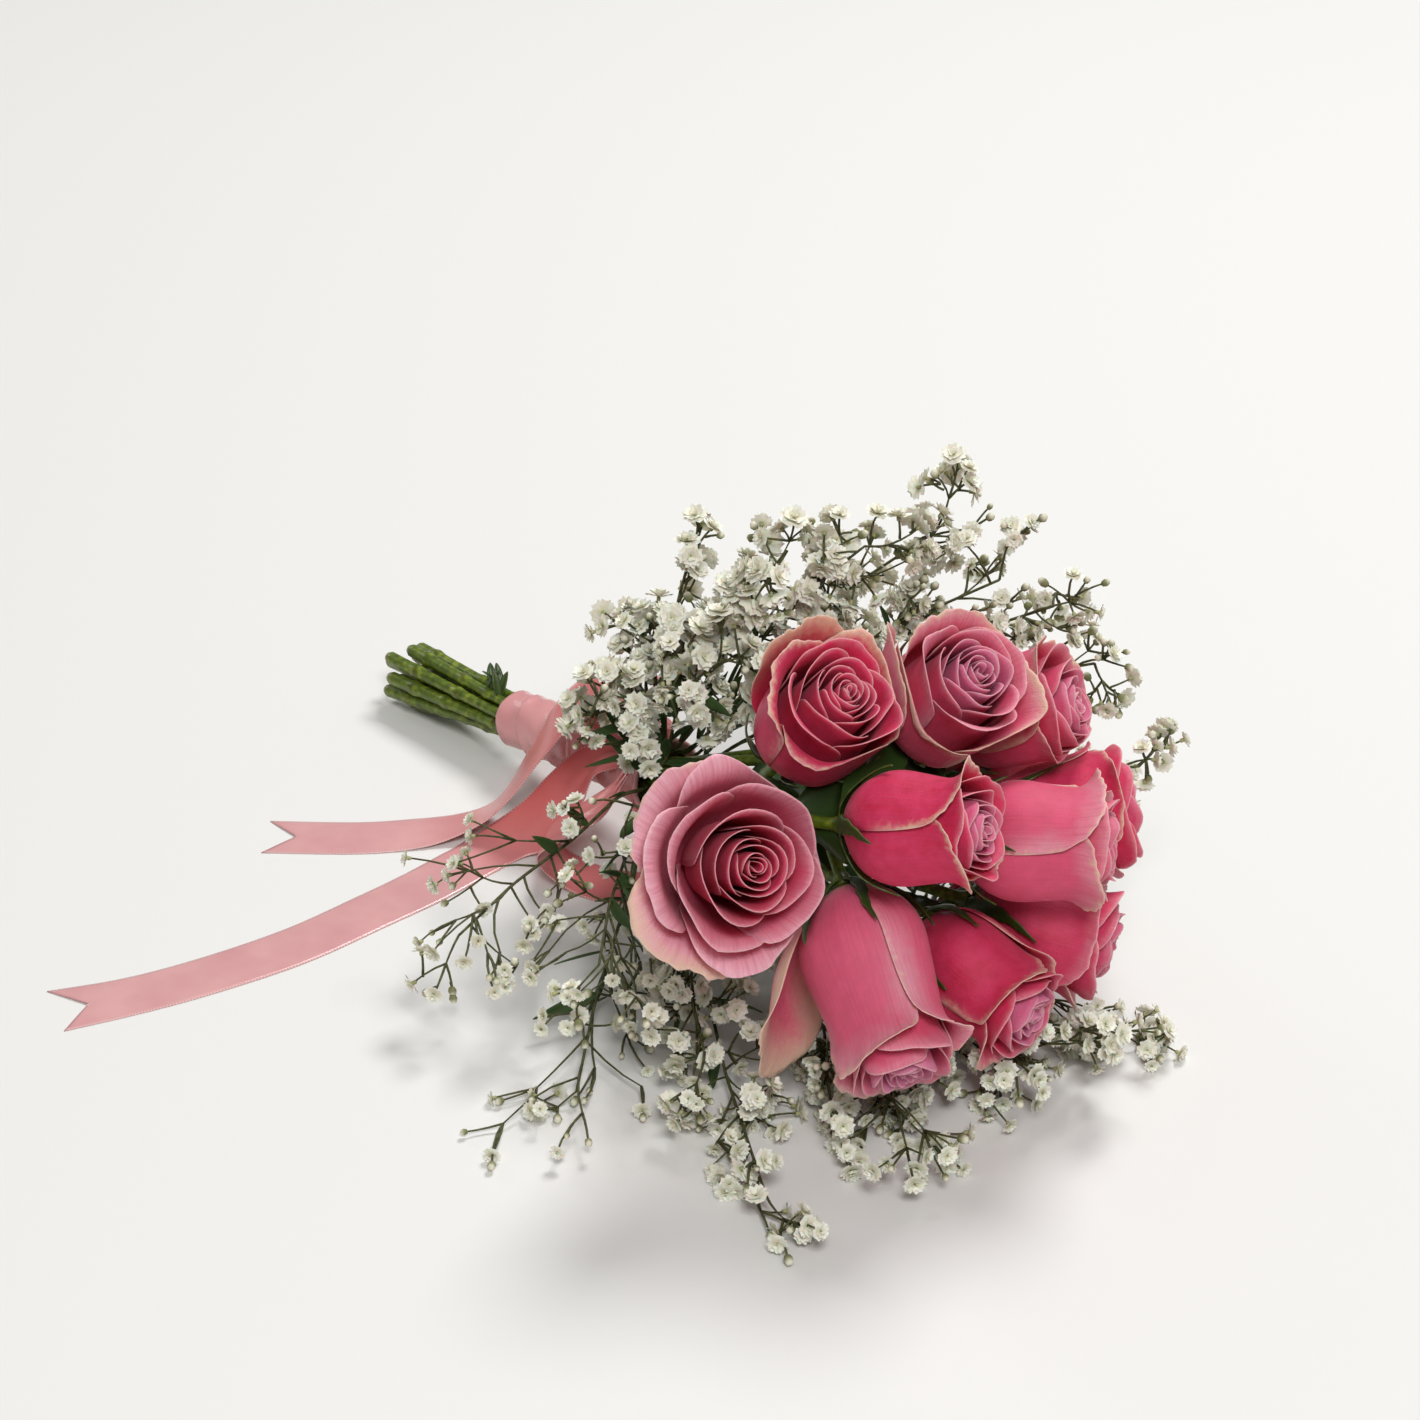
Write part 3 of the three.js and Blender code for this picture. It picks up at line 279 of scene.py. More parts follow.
def finish_material(material, tree, skin, relief=None, strength=0.0, depth=0.0):
    """Ends a material with its skin and, where it has a relief, a bump of a depth in millimetres."""
    if relief is not None:
        bump = {"Height": relief, "Strength": strength, "Distance": depth * MM}
        skin = {**skin, "Normal": add(tree, "Bump", bump)}
    add(tree, "OutputMaterial", {"Surface": add(tree, "BsdfPrincipled", skin)})
    return material


# %% [markdown]
# ### Rose petal
#
# A rose petal is a thin, soft skin of small domed cells. They scatter light, so it looks like
# velvet, and some light comes through. It is deepest in colour low down and pales towards its
# rim, and its rim itself is a fine light line. The darker colour that stays away from the rims,
# most of it on the inner petals, is also painted shade for the folds and depths of the bloom.
# Fine veins run from the foot
# to the rim. All of this follows the petal, so the petals carry marks: how far a point is from
# the rim, how far along the petal it is, and how near the bloom's heart the petal stands.

# %% Rose petal finish
PETAL_MARKS = ("rim", "along", "across", "tint", "rank", "cream", "fade", "cool")


def rose_petal():
    """Shares of seven colours over a mottled body, worked out from the petal's marks."""
    material, tree, place, mark = start_material("rose_petal", PETAL_MARKS)
    # Mottling in patches of about 6 mm, and cells so fine that they are drawn at 0.6 mm
    patches = add(tree, "TexNoise", {"Vector": place, "Scale": per_metre(5.88), "Detail": 3.0})
    cells = add(tree, "TexNoise", {"Vector": place, "Scale": per_metre(0.588), "Detail": 1.0})
    body = add(tree, "ValToRGB", {"Fac": patches}, stops=[(0.3, "#c01640"), (0.7, "#d42e5b")])
    faded = add(tree, "Math", {0: mark["fade"], 1: 0.55}, TIMES)
    # The more a petal has faded, the lower down its paler part begins
    begins = add(tree, "Math", {0: mark["fade"], 1: -0.35, 2: 0.45}, TIMES_PLUS)
    whole = add(tree, "Math", {0: mark["fade"], 1: -0.3, 2: 0.85}, TIMES_PLUS)
    upper = add(tree, "MapRange", {0: mark["along"], 1: begins, 2: whole, 3: 0.0, 4: 1.0}, FADE)
    # It also reaches further from the rim, give or take 4.5 mm
    wobble = add(tree, "Math", {0: patches, 1: 9.0, 2: -4.5}, TIMES_PLUS)
    from_rim = add(tree, "Math", {0: mark["rim"], 1: wobble}, PLUS)
    reached = add(tree, "Math", {0: mark["fade"], 1: 20.0, 2: 3.5}, TIMES_PLUS)
    near = add(tree, "MapRange", {0: from_rim, 1: -2.0, 2: reached, 3: 1.0, 4: 0.0}, FADE)
    most = add(tree, "Math", {0: mark["fade"], 1: 0.6, 2: 0.35}, TIMES_PLUS)
    high = add(tree, "Math", {0: near, 1: upper}, TIMES)
    # Painted shade: past this pale share the petal keeps its darker body colour, so it darkens away from the
    # rims and inside the bloom, most on the inner petals
    pale_rim_and_painted_shade = add(tree, "Math", {0: high, 1: most}, TIMES)
    # Veins about 1 mm apart: noise on the petal's own directions, stretched along it
    sheet = add(tree, "CombineXYZ", {"X": mark["across"], "Y": mark["along"], "Z": mark["tint"]})
    stretched = add(tree, "Mapping", {"Vector": sheet, "Scale": (34.0, 2.6, 40.0)})
    veins = add(tree, "TexNoise", {"Vector": stretched, "Scale": 1.0, "Detail": 4.0, "Roughness": 0.6})
    veined = add(tree, "MapRange", {0: veins, 1: 0.4, 2: 0.68, 3: 0.0, 4: 0.34})
    inner = add(tree, "MapRange", {0: mark["rank"], 1: 0.35, 2: 0.75, 3: 0.6, 4: 0.0}, FADE)
    mauve = add(tree, "Math", {0: inner, 1: mark["cool"]}, TIMES)
    foot = add(tree, "MapRange", {0: mark["along"], 1: 0.02, 2: 0.2, 3: 0.75, 4: 0.0}, FADE)
    # The cream of a rim breaks up into patches of about 2 mm
    crumbs = add(tree, "TexNoise", {"Vector": place, "Scale": per_metre(2.38), "Detail": 3.0})
    jagged = add(tree, "Math", {0: crumbs, 1: 9.0, 2: mark["rim"]}, TIMES_PLUS)
    width = add(tree, "Math", {0: mark["cream"], 1: 26.0, 2: 3.4}, TIMES_PLUS)
    reach = add(tree, "MapRange", {0: jagged, 1: 2.6, 2: width, 3: 0.85, 4: 0.0}, FADE)
    cream = add(tree, "Math", {0: reach, 1: upper}, TIMES)
    thin = add(tree, "MapRange", {0: mark["rim"], 1: 0.0, 2: 0.8, 3: 0.4, 4: 0.0}, FADE)
    line = add(tree, "Math", {0: thin, 1: upper}, TIMES)
    colour = layered(tree, body, [
        (faded, "#f68fab"), (pale_rim_and_painted_shade, "#f0b8c4"), (veined, "#c2446c"), (mauve, "#cf8bb2"),
        (foot, "#d9a08a"), (cream, "#dcc3a2"), (line, "#f3c9c4")])
    relief = add(tree, "Math", {0: veins, 1: cells}, PLUS)
    skin = {"Base Color": colour, "Roughness": 0.52, "Sheen Weight": 0.05, "Specular IOR Level": 0.25,
            "Subsurface Weight": 0.26, "Subsurface Radius": (1.0, 0.35, 0.3), "Subsurface Scale": 0.002}
    return finish_material(material, tree, skin, relief, strength=0.5, depth=0.4)


# %% [markdown]
# ### Green stem and sepal
#
# A cut rose stem is smooth and waxy, mid green with darker streaks, brown at the scars where
# leaves were stripped, and pale and a little brown at the cut. The sepals are the same skin,
# darker, with a light margin.

# %% Stem finish
def waxy_stem():
    """Green streaks, with shares of sepal green, scar brown and the pale cut over them."""
    material, tree, place, mark = start_material("waxy_green_stem", ("scar", "cut", "sepal"))
    # Streaks about 3 mm wide and fine pores of 0.4 mm
    streaks = add(tree, "TexNoise", {"Vector": place, "Scale": per_metre(3.33), "Detail": 4.0})
    pores = add(tree, "TexNoise", {"Vector": place, "Scale": per_metre(0.4), "Detail": 1.0})
    green = add(tree, "ValToRGB", {"Fac": streaks},
                stops=[(0.3, "#3d4f0e"), (0.72, "#869328"), (0.52, "#596c14")])
    # A scar goes only part of the way round, in stretches of about 5 mm
    side = add(tree, "TexNoise", {"Vector": place, "Scale": per_metre(5.26), "Detail": 1.0})
    broken = add(tree, "MapRange", {0: side, 1: 0.46, 2: 0.58, 3: 0.05, 4: 1.0}, FADE)
    scar = add(tree, "Math", {0: mark["scar"], 1: broken}, TIMES)
    colour = layered(tree, green, [(mark["sepal"], "#2a4319"), (scar, "#4a3618"), (mark["cut"], "#8a8a4a")])
    relief = add(tree, "Math", {0: streaks, 1: pores}, PLUS)
    skin = {"Base Color": colour, "Roughness": 0.36, "Subsurface Weight": 0.05, "Subsurface Scale": 0.002}
    return finish_material(material, tree, skin, relief, strength=0.2, depth=0.2)


# %% [markdown]
# ### Baby's breath
#
# The florets are dull white paper-thin petals, a little green at their hearts. The stalks are
# thin, dark olive and matt, and their few narrow leaves are a fresher green. Marks on the
# points tell white from green.

# %% Baby's breath finish
def babys_breath():
    """Stalk and leaf green, then petal white where the white mark says, and green hearts."""
    material, tree, place, mark = start_material("babys_breath", ("white", "heart", "leaf"))
    # Creases of the petals and streaks of the stalks, both about 2 mm long
    patches = add(tree, "TexNoise", {"Vector": place, "Scale": per_metre(2.38), "Detail": 2.0})
    petal = add(tree, "ValToRGB", {"Fac": patches}, stops=[(0.3, "#e9e5d2"), (0.65, "#faf8ee")])
    stalk = add(tree, "ValToRGB", {"Fac": patches}, stops=[(0.3, "#34371a"), (0.7, "#5a5c2f")])
    green = layered(tree, stalk, [(mark["leaf"], "#36511f")])
    both = add(tree, "Mix", {0: mark["white"], 6: green, 7: petal}, BLEND)
    colour = layered(tree, both, [(mark["heart"], "#b9bb78")])
    skin = {"Base Color": colour, "Roughness": 0.7, "Subsurface Weight": 0.25, "Subsurface Scale": 0.001}
    return finish_material(material, tree, skin, patches, strength=0.2, depth=0.3)


# %% [markdown]
# ### Satin ribbon
#
# Satin is woven so that long threads lie on its face, which gives it a smooth, bright sheen.
# The threads are 0.1 mm apart, too fine for the picture, so they are drawn at 0.5 mm. Along
# both edges runs a stitch every 1.3 mm or so, seen as a row of light dots. Round the knot the
# colour is darkened as painted shade.

# %% Satin finish
STITCH_PITCH = 1.3
THREAD_PITCH = 0.5
RIBBON_MARKS = ("along", "across", "deep")


def satin():
    """Dusty pink, darkened as painted shade where its mark says, with a sine along the ribbon for
    its threads and a slower one at its edges for its stitches."""
    material, tree, place, mark = start_material("satin_ribbon", RIBBON_MARKS)
    # Soft lighter and darker clouds about 20 mm wide
    clouds = add(tree, "TexNoise", {"Vector": place, "Scale": per_metre(20), "Detail": 2.0})
    cloth = add(tree, "ValToRGB", {"Fac": clouds}, stops=[(0.3, "#d2989a"), (0.7, "#dba6a5")])
    waves = [add(tree, "Math", {0: mark["along"], 1: 2 * math.pi / pitch}, TIMES)
             for pitch in (STITCH_PITCH, THREAD_PITCH)]
    dots, threads = (add(tree, "Math", {0: wave}, {"operation": "SINE"}) for wave in waves)
    off = add(tree, "Math", {0: mark["across"]}, {"operation": "ABSOLUTE"})
    edge = add(tree, "MapRange", {0: off, 1: 0.93, 2: 0.96, 3: 0.0, 4: 1.0}, FADE)
    stitch = add(tree, "MapRange", {0: dots, 1: -0.2, 2: 0.5, 3: 0.15, 4: 0.8}, FADE)
    stitched = add(tree, "Math", {0: edge, 1: stitch}, TIMES)
    # Painted shade: darker colour near the knot, along the first part of each tail and over the loops, wrap
    # and knot, where layers of ribbon shade each other
    colour = layered(tree, cloth, [(mark["deep"], "#da7371"), (stitched, "#f3cfca")])
    relief = add(tree, "Math", {0: threads, 1: 0.12, 2: stitched}, TIMES_PLUS)
    skin = {"Base Color": colour, "Roughness": 0.21, "Sheen Weight": 0.08, "Sheen Roughness": 0.3,
            "Specular IOR Level": 0.6}
    return finish_material(material, tree, skin, relief, strength=0.25, depth=0.2)


# %% [markdown]
# ### Florist's tape
#
# The stems are held by green crepe paper tape, which is waxed, matt and finely crinkled.

# %% Tape finish
def crepe_tape():
    """One noise of crinkles about 0.8 mm wide, for the colour and for the relief."""
    material, tree, place, _ = start_material("crepe_paper_tape")
    crinkle = add(tree, "TexNoise", {"Vector": place, "Scale": per_metre(0.833), "Detail": 2.0})
    colour = add(tree, "ValToRGB", {"Fac": crinkle}, stops=[(0.3, "#5d7c3c"), (0.7, "#7f9d58")])
    return finish_material(material, tree, {"Base Color": colour, "Roughness": 0.8}, crinkle, 0.5, 0.3)


PETAL, STEM, BREATH, SATIN, TAPE = rose_petal(), waxy_stem(), babys_breath(), satin(), crepe_tape()
print("finishes:", [m.name for m in (PETAL, STEM, BREATH, SATIN, TAPE)])

# %% [markdown]
# ## Where the roses are
#
# Each rose is told by the middle of its face, the way it faces, its height, its widest radius
# and how far it is open. Roses in a tight bunch press flat against each other. A plane between
# each two of them, shared by their radii, and one at the table say how far a petal may reach.

# %% The roses
# Each row: the middle of the face and the way it looks, both as right, up and near in the view,
# then the height, the widest radius, how far the rose is open, how far it has faded from its
# rims inwards and how mauve its heart has turned. A guard is a loose outer petal: its turn and
# lean in degrees, its length and how much cream it carries.
ROSE_KEYS = ("at", "faces", "height", "belly", "open", "fade", "cool", "guards")
ROSES = [dict(zip(ROSE_KEYS, row)) for row in [
    ((-46, -7, 71), (0.38, -0.05, 0.92), 50, 22.5, 0.9, 1.4, 0.0, []),
    ((-14, 54, 60), (0.42, 0.38, 0.82), 54, 22, 0.25, 0.1, 0.15, [(8, 7, 60, 0.55)]),
    ((33, 62, 46), (0.46, 0.34, 0.8), 52, 21.5, 0.28, 0.55, 0.8, [(72, 22, 54, 0.25)]),
    ((69, 53, 2), (0.88, 0.15, 0.35), 52, 21.5, 0.28, 0.35, 0.6, []),
    ((32, 6, 74), (0.87, -0.04, 0.48), 55, 23, 0.1, 0.05, 0.7, []),
    ((78, 1, 32), (0.98, -0.06, 0.1), 57, 24, 0.15, 0.45, 0.4, []),
    ((89, 15, -22), (0.98, 0.12, -0.1), 56, 22, 0.35, 0.1, 0.3, []),
    ((6, -77, 46), (0.3, -0.9, 0.32), 75, 26, 0.12, 0.65, 1.0, [(150, 24, 76, 1.0)]),
    ((51, -60, 24), (0.76, -0.54, 0.4), 57, 23, 0.12, 0.12, 1.0, []),
    ((81, -36, -10), (0.93, -0.3, 0.1), 55, 22, 0.3, 0.25, 0.5, []),
    ((47, 38, -64), (0.6, 0.25, -0.76), 52, 22, 0.3, 0.2, 0.5, []),
    ((56, -41, -64), (0.75, -0.3, -0.59), 52, 22, 0.3, 0.2, 0.5, []),
]]
# The share of a bloom's height at which its face lies
FACE_AT = 0.92
TABLE_SINK = 1.6
PRESS_DEPTH = 8.0


def seen(place):
    """A vector told as right, up and near in the view."""
    return RIGHT * place[0] + UP * place[1] + NEAR * place[2]


def set_frame(rose):
    """Adds a rose's own directions: its axis, its top side and the side to the left of it."""
    axis = seen(rose["faces"]).normalized()
    rose["axis"] = axis
    rose["base"] = HEAD + seen(rose["at"]) - axis * FACE_AT * rose["height"]
    rose["top"] = (UP - axis * UP.dot(axis)).normalized()
    rose["left"] = axis.cross(rose["top"])
    rose["reach"] = rose["belly"] * (1 + 0.45 * rose["open"])


def along_axis(rose, share):
    """The point at a share of a bloom's height."""
    return rose["base"] + rose["axis"] * rose["height"] * share


def press_planes(rose):
    """The plane between this rose and each other one, at the nearest points of their axes, as
    a point and a normal, and the table's."""
    planes = []
    shares = [mix(0.35, 0.95, i / 6) for i in range(7)]
    for other in ROSES:
        if other is rose:
            continue
        pairs = [(along_axis(rose, s), along_axis(other, t)) for s in shares for t in shares]
        p, q = min(pairs, key=lambda pair: (pair[0] - pair[1]).length)
        share = rose["reach"] / (rose["reach"] + other["reach"])
        planes.append((np.array(p.lerp(q, share)), np.array((q - p).normalized())))
    planes.append((np.array([0, 0, -TABLE_SINK]), np.array([0, 0, -1.0])))
    return planes


def press(points, planes, gap):
    """Moves points back from each plane, softly: past is how far a point is beyond the plane,
    and what is kept of it comes ever nearer to gap before the plane, but never closer."""
    room = PRESS_DEPTH - gap
    for point, normal in planes:
        past = (points - point) @ normal
        kept = -PRESS_DEPTH + room * (1 - np.exp(-np.maximum(past + PRESS_DEPTH, 0) / room))
        points = points + np.where(past > -PRESS_DEPTH, kept - past, 0)[..., None] * normal
    return points


for rose in ROSES:
    set_frame(rose)
for rose in ROSES:
    rose["planes"] = press_planes(rose)
print("roses:", len(ROSES))

# %% [markdown]
# ## Petals
#
# A petal could be a flat outline bent by a lattice, or cloth that falls into place. Here it is
# a surface of two parameters: across, from one edge to the other, and along, from foot to rim.
# Walking along it, the angle from the bloom's axis says which way it heads: wide in the bowl,
# then leaning, then curling back near the rim. The sums of the sine and cosine of that angle
# are how far out and how far up it is. The edges roll back a little more than the middle,
# which is what gives rose petals their points.

# %% The shape of a petal
BASE_RADIUS = 2.0
BOWL_ANGLE = math.radians(78)
# How far out and up a petal gets over its bowl, as shares of the way along it
BOWL_OUT, BOWL_UP = 0.592, 0.705
CURL_START = 0.76
WALK_STEPS = 64
SHORTEST_WALL = 6


def petal_measures(rose, rank, turn):
    """A petal's belly, lean, curl, bowl and length from its rank: 0 at the heart, 1 outside."""
    opened = rose["open"]
    belly = mix(1.8, rose["belly"], rank ** 0.8)
    lean = math.radians(mix(-2, mix(-14, 36, opened), rank ** 1.6))
    curl = math.radians(mix(4, mix(70, 80, opened), rank ** 2.4))
    height = rose["height"] * (1.03 - (0.05 + 0.2 * opened) * rank ** 3) * (0.98 + 0.04 * draw(rank + turn))
    bowl = max(belly - BASE_RADIUS, 0.5) / BOWL_OUT
    length = bowl + max(SHORTEST_WALL, (height - BOWL_UP * bowl) / math.cos(lean))
    return dict(lean=lean, curl=curl, bowl=bowl, length=length, turn=turn, rank=rank)


def guard_measures(rose, guard):
    """The same for a loose outer petal, told by its turn, lean and length."""
    turn, lean, length, _ = guard
    bowl = (rose["belly"] + 3 - BASE_RADIUS) / BOWL_OUT
    return dict(lean=math.radians(lean), curl=math.radians(25), bowl=bowl, length=length,
                turn=math.radians(turn), rank=1.0)


def walk(petal, across, share, side_roll, uneven=0.0):
    """How far out and up the petal is at each share of its length, for each place across it.
    The angle is summed in small steps, and the sums are read between steps. An uneven petal
    curls more at one side than at the other, by a sine of the place across it."""
    step = petal["length"] / WALK_STEPS
    done = (np.arange(WALK_STEPS)[:, None] + 0.5) / WALK_STEPS
    in_bowl = np.minimum(1, done * petal["length"] / petal["bowl"])
    rolled = np.clip((done - CURL_START) / (1 - CURL_START), 0, 1)
    curl = petal["curl"] * (1 + uneven * np.sin(2.4 * across + 7 * petal["turn"]))
    angle = BOWL_ANGLE * (1 - in_bowl) + petal["lean"] * ease(in_bowl) + curl * rolled ** 1.2
    angle = angle + side_roll * np.abs(across) ** 3 * ease((done - 0.6) / 0.4)
    zero = np.zeros((1, across.shape[1]))
    out = BASE_RADIUS + np.concatenate([zero, np.cumsum(np.sin(angle), 0) * step])
    up = np.concatenate([zero, np.cumsum(np.cos(angle), 0) * step])
    place = np.clip(share, 0, 1) * (WALK_STEPS - 1e-6)
    k = np.floor(place).astype(int)
    return [mix(np.take_along_axis(sums, k, 0), np.take_along_axis(sums, k + 1, 0), place - k)
            for sums in (out, up)]


def on_bloom(rose, angle, out, up):
    """Points told by the angle round a bloom's axis, how far out from it and how far up it."""
    axis, top, left = (np.array(rose[key]) for key in ("axis", "top", "left"))
    away = top * np.cos(angle)[..., None] + left * np.sin(angle)[..., None]
    return np.array(rose["base"]) + axis * up[..., None] + away * out[..., None]


# Columns and rows of a petal's grid from each rank up: finest where the rims are crinkled
GRIDS = [(1.0, (34, 24)), (0.8, (26, 22)), (0.3, (16, 16)), (0.0, (16, 12))]
PETAL_THICKNESS, RIM_THICKNESS = 0.5, 0.25


def petal_rim(across, outer, opened, seed):
    """How much longer a petal is at each place across it, as a share: three sines that make it
    ragged, the finest only outside, and a small point in the middle."""
    ragged = mix(0.006, 0.018, outer ** 3) * np.sin(across * 6 + 9 * draw(seed))
    ragged = ragged + 0.007 * outer ** 4 * np.sin(across * 15 + 20 * draw(seed + 1))
    ragged = ragged + 0.006 * outer ** 8 * np.sin(across * 37 + 20 * draw(seed + 7))
    tip = mix(0.008, mix(0.03, 0.1, opened), outer ** 2) * np.exp(-(across / 0.26) ** 2)
    return tip + ragged


def petal_relief(across, along, outer, opened, seed):
    """How far out the petal is moved: a wave that grows to the rim, low ridges along the
    middle, a fine crinkle at the very rim, and a slant from one edge to the other, so that
    neighbours overlap."""
    ripple = mix(0.1, mix(0.8, 1.6, opened), outer ** 1.5)
    wave = ripple * along ** 5 * np.sin(across * mix(3, 6, draw(seed + 2)) + 6 * draw(seed + 3))
    ridges = 0.22 * outer * np.sin(math.pi * along) * np.sin(across * 8 + 6 * draw(seed + 4))
    crinkle = 0.45 * outer ** 8 * along ** 14 * np.sin(across * 27 + 9 * draw(seed + 8))
    slant = mix(0.5, 1.1, outer) * across * ease(along * 2.2)
    return slant + wave + ridges + crinkle * np.sin(across * 6 + seed)


def petal_part(rose, petal, half_width, gap, seed, cream=0.0):
    """One petal as a thin shell. Its rim is level for most of its width and rounds off at its
    edges by the fourth power of the place across. Rows lie closer together near the rim."""
    outer, opened = petal["rank"], rose["open"]
    columns, rows = next(size for least, size in GRIDS if outer >= least)
    across = np.linspace(-1, 1, columns + 1)[None, :]
    even = np.linspace(0, 1, rows + 1)[:, None]
    along = even * (1.3 - 0.3 * even)
    longer = petal_rim(across, outer, opened, seed)
    share = along * (0.97 - 0.19 * along * np.abs(across) ** 4 + longer * along ** 4)
    out, up = walk(petal, across, share, math.radians(mix(0, 34, outer ** 4)), 0.45 * outer ** 2)
    out = out + petal_relief(across, along, outer, opened, seed)
    angle = petal["turn"] + across * half_width * (1 - 0.1 * along ** 4)
    points = press(on_bloom(rose, angle, out, up), rose["planes"], gap)
    rim = np.minimum((1 - along) * petal["length"], (1 - np.abs(across)) * half_width * np.maximum(out, 1))
    thickness = PETAL_THICKNESS - (PETAL_THICKNESS - RIM_THICKNESS) * np.exp(-rim / 2)
    marks = dict(rim=rim[:, ::-1], along=along, across=across[:, ::-1] * half_width, rank=outer, cream=cream,
                 tint=draw(seed + 5), fade=rose["fade"] * outer ** 2, cool=rose["cool"])
    return shell(points[:, ::-1], thickness, **marks)


# %% [markdown]
# ## Blooms
#
# A florist's rose has some two to three dozen petals, in a spiral. In a bud three wide ones
# make a turn and each wraps more than a third of the bloom, so few edges show from the side.
# An open rose has more and narrower ones outside. Towards the heart there are two to a turn and
# then a single one that is rolled up. Petals nearer the heart stay further from the press
# planes, so the layers never cross.

# %% Make the blooms
INNER_WHORLS = [
    # rank, petals, half width in degrees, shift in eighths of a turn
    (0.48, 3, 76, 1.8),
    (0.36, 3, 80, 0.2),
    (0.265, 2, 112, 1.4),
    (0.19, 2, 116, 3.1),
    (0.125, 2, 120, 0.7),
    (0.07, 2, 124, 2.4),
    (0.03, 1, 210, 0.9),
]
BUD_WHORLS = [(1.0, 3, 75, 1.0), (0.82, 3, 75, 2.33), (0.64, 3, 75, 0.4)]
OPEN_WHORLS = [(1.0, 4, 54, 1.0), (0.86, 4, 54, 2.0), (0.68, 4, 58, 1.2)]


def press_gap(rank):
    """How far a layer stays from the press planes: 2 mm outside, 3.9 and 5.6 further in."""
    return float(np.interp(rank, [0, 0.4, 0.62, 1.0], [7.0, 5.6, 3.9, 2.0]))


# Outer petals with a broad pale lip, by rose: the way round the bloom that they face, how much
# cream they carry, how much more they curl, and how many degrees further they lean
LIPS = {0: (185, 0.6, 1.0, 4), 1: (250, 0.45, 1.3, 8), 2: (165, 0.8, 1.6, 24), 3: (90, 0.4, 1.2, 6)}
GUARD_HALF_WIDTH, GUARD_GAP = 45, 0.8


def lip_cream(petal, index, cream):
    """Bends an outer petal that faces the way of its rose's lip, by the square of half of one
    plus the cosine of the angle between them, and gives the cream that it then carries."""
    toward, most, curled, leaning = LIPS[index]
    facing = (0.5 + 0.5 * math.cos(petal["turn"] - math.radians(toward))) ** 2
    petal["curl"] *= mix(1, curled, facing)
    petal["lean"] += math.radians(leaning) * facing
    return max(cream, most * facing)


def bloom(rose, index):
    """Each whorl's petals at even turns round the axis, give or take a tenth of a radian, and
    then the guards."""
    guards = rose["guards"]
    spin = math.radians(guards[0][0]) if guards else 2 * math.pi * draw(index + 7)
    whorls = (OPEN_WHORLS if rose["open"] > 0.5 else BUD_WHORLS) + INNER_WHORLS
    parts = []
    for rank, count, half_width, shift in whorls:
        for k in range(count):
            turn = spin + math.pi / 4 * (shift + 8 * k / count) + 0.2 * (draw(index + 31 * rank + k) - 0.5)
            petal = petal_measures(rose, rank, turn)
            seed = 100 * index + 10 * rank + k
            cream = 0.04 + 0.22 * draw(seed + 6) * (1 - 0.6 * rose["open"]) if rank == 1.0 else 0.0
            if rank == 1.0 and index in LIPS:
                cream = lip_cream(petal, index, cream)
            parts.append(petal_part(rose, petal, math.radians(half_width), press_gap(rank), seed, cream))
    for k, guard in enumerate(guards):
        petal = guard_measures(rose, guard)
        seed = 100 * index + 55 + k
        parts.append(petal_part(rose, petal, math.radians(GUARD_HALF_WIDTH), GUARD_GAP, seed, guard[3]))
    return parts


petal_count = 0
for index, rose in enumerate(ROSES):
    number = f"{index + 1:02d}"
    petals = bloom(rose, index)
    petal_count += len(petals)
    make_piece(f"rose_petals_{number}", petals, PETAL_MARKS, f"rose_bloom_{number}", PETAL)
print("petals made:", petal_count)

# %% [markdown]
# ## Where the stems run
#
# The stems are gathered in the binding, the three innermost inside a ring of nine, and cross a
# little in the handle as a hand twists them. Past the binding each one curves to its own rose.
# Where two come too close they are pushed apart, round after round, until all of them fit.

# %% Stem paths
STEM_END = Vector((-137.5, 13, 13.2))
WRAP_END = Vector((-83.5, -46, 22.5))
NECK = Vector((-23, -113, 34))
STEM_RADIUS = 2.3
OUTER_RING, INNER_RING = 7.7, 2.8
INNER_STEMS = 3
CUT_END_SPREAD = 1.55
HANDLE_TWIST = -0.7
SEAT_GAP = 0.3
CALYX_LENGTH = 8
STEM_SPACING = 2 * STEM_RADIUS + 1.4
# Only the points between the binding and the calyx give way
FIRST_FREE, FIXED_END = 4, 2
ROUNDS = 60
HANDLE = (NECK - STEM_END).normalized()
SIDE = Vector((0, 0, 1)).cross(HANDLE).normalized()
RISE = HANDLE.cross(SIDE)
HEADING = (HEAD - NECK).normalized()


def around(centre, angle, radius):
    """A point on a circle across the handle."""
    return centre + SIDE * radius * math.cos(angle) + RISE * radius * math.sin(angle)


def off_heading(way):
    """How far a way leaves the heading, and at which angle round the handle."""
    off = way - HEADING * way.dot(HEADING)
    return off.length, math.atan2(off.dot(RISE), off.dot(SIDE))


def even_turns(angles):
    """Even steps round a circle, in the order given, shifted to fit the angles best."""
    step = 2 * math.pi / len(angles)
    shift = sum(angle - k * step for k, angle in enumerate(angles)) / len(angles)
    return [shift + k * step for k in range(len(angles))]


def stem_places():
    """The three roses nearest the middle line take the inner places, the others the ring."""
    nearest = sorted((*off_heading(rose["base"] - NECK), k) for k, rose in enumerate(ROSES))
    places = {}
    for group, ring in ((nearest[:INNER_STEMS], INNER_RING), (nearest[INNER_STEMS:], OUTER_RING)):
        group = sorted(group, key=lambda one: one[1])
        for one, angle in zip(group, even_turns([one[1] for one in group])):
            places[one[2]] = (ring, angle)
    return places


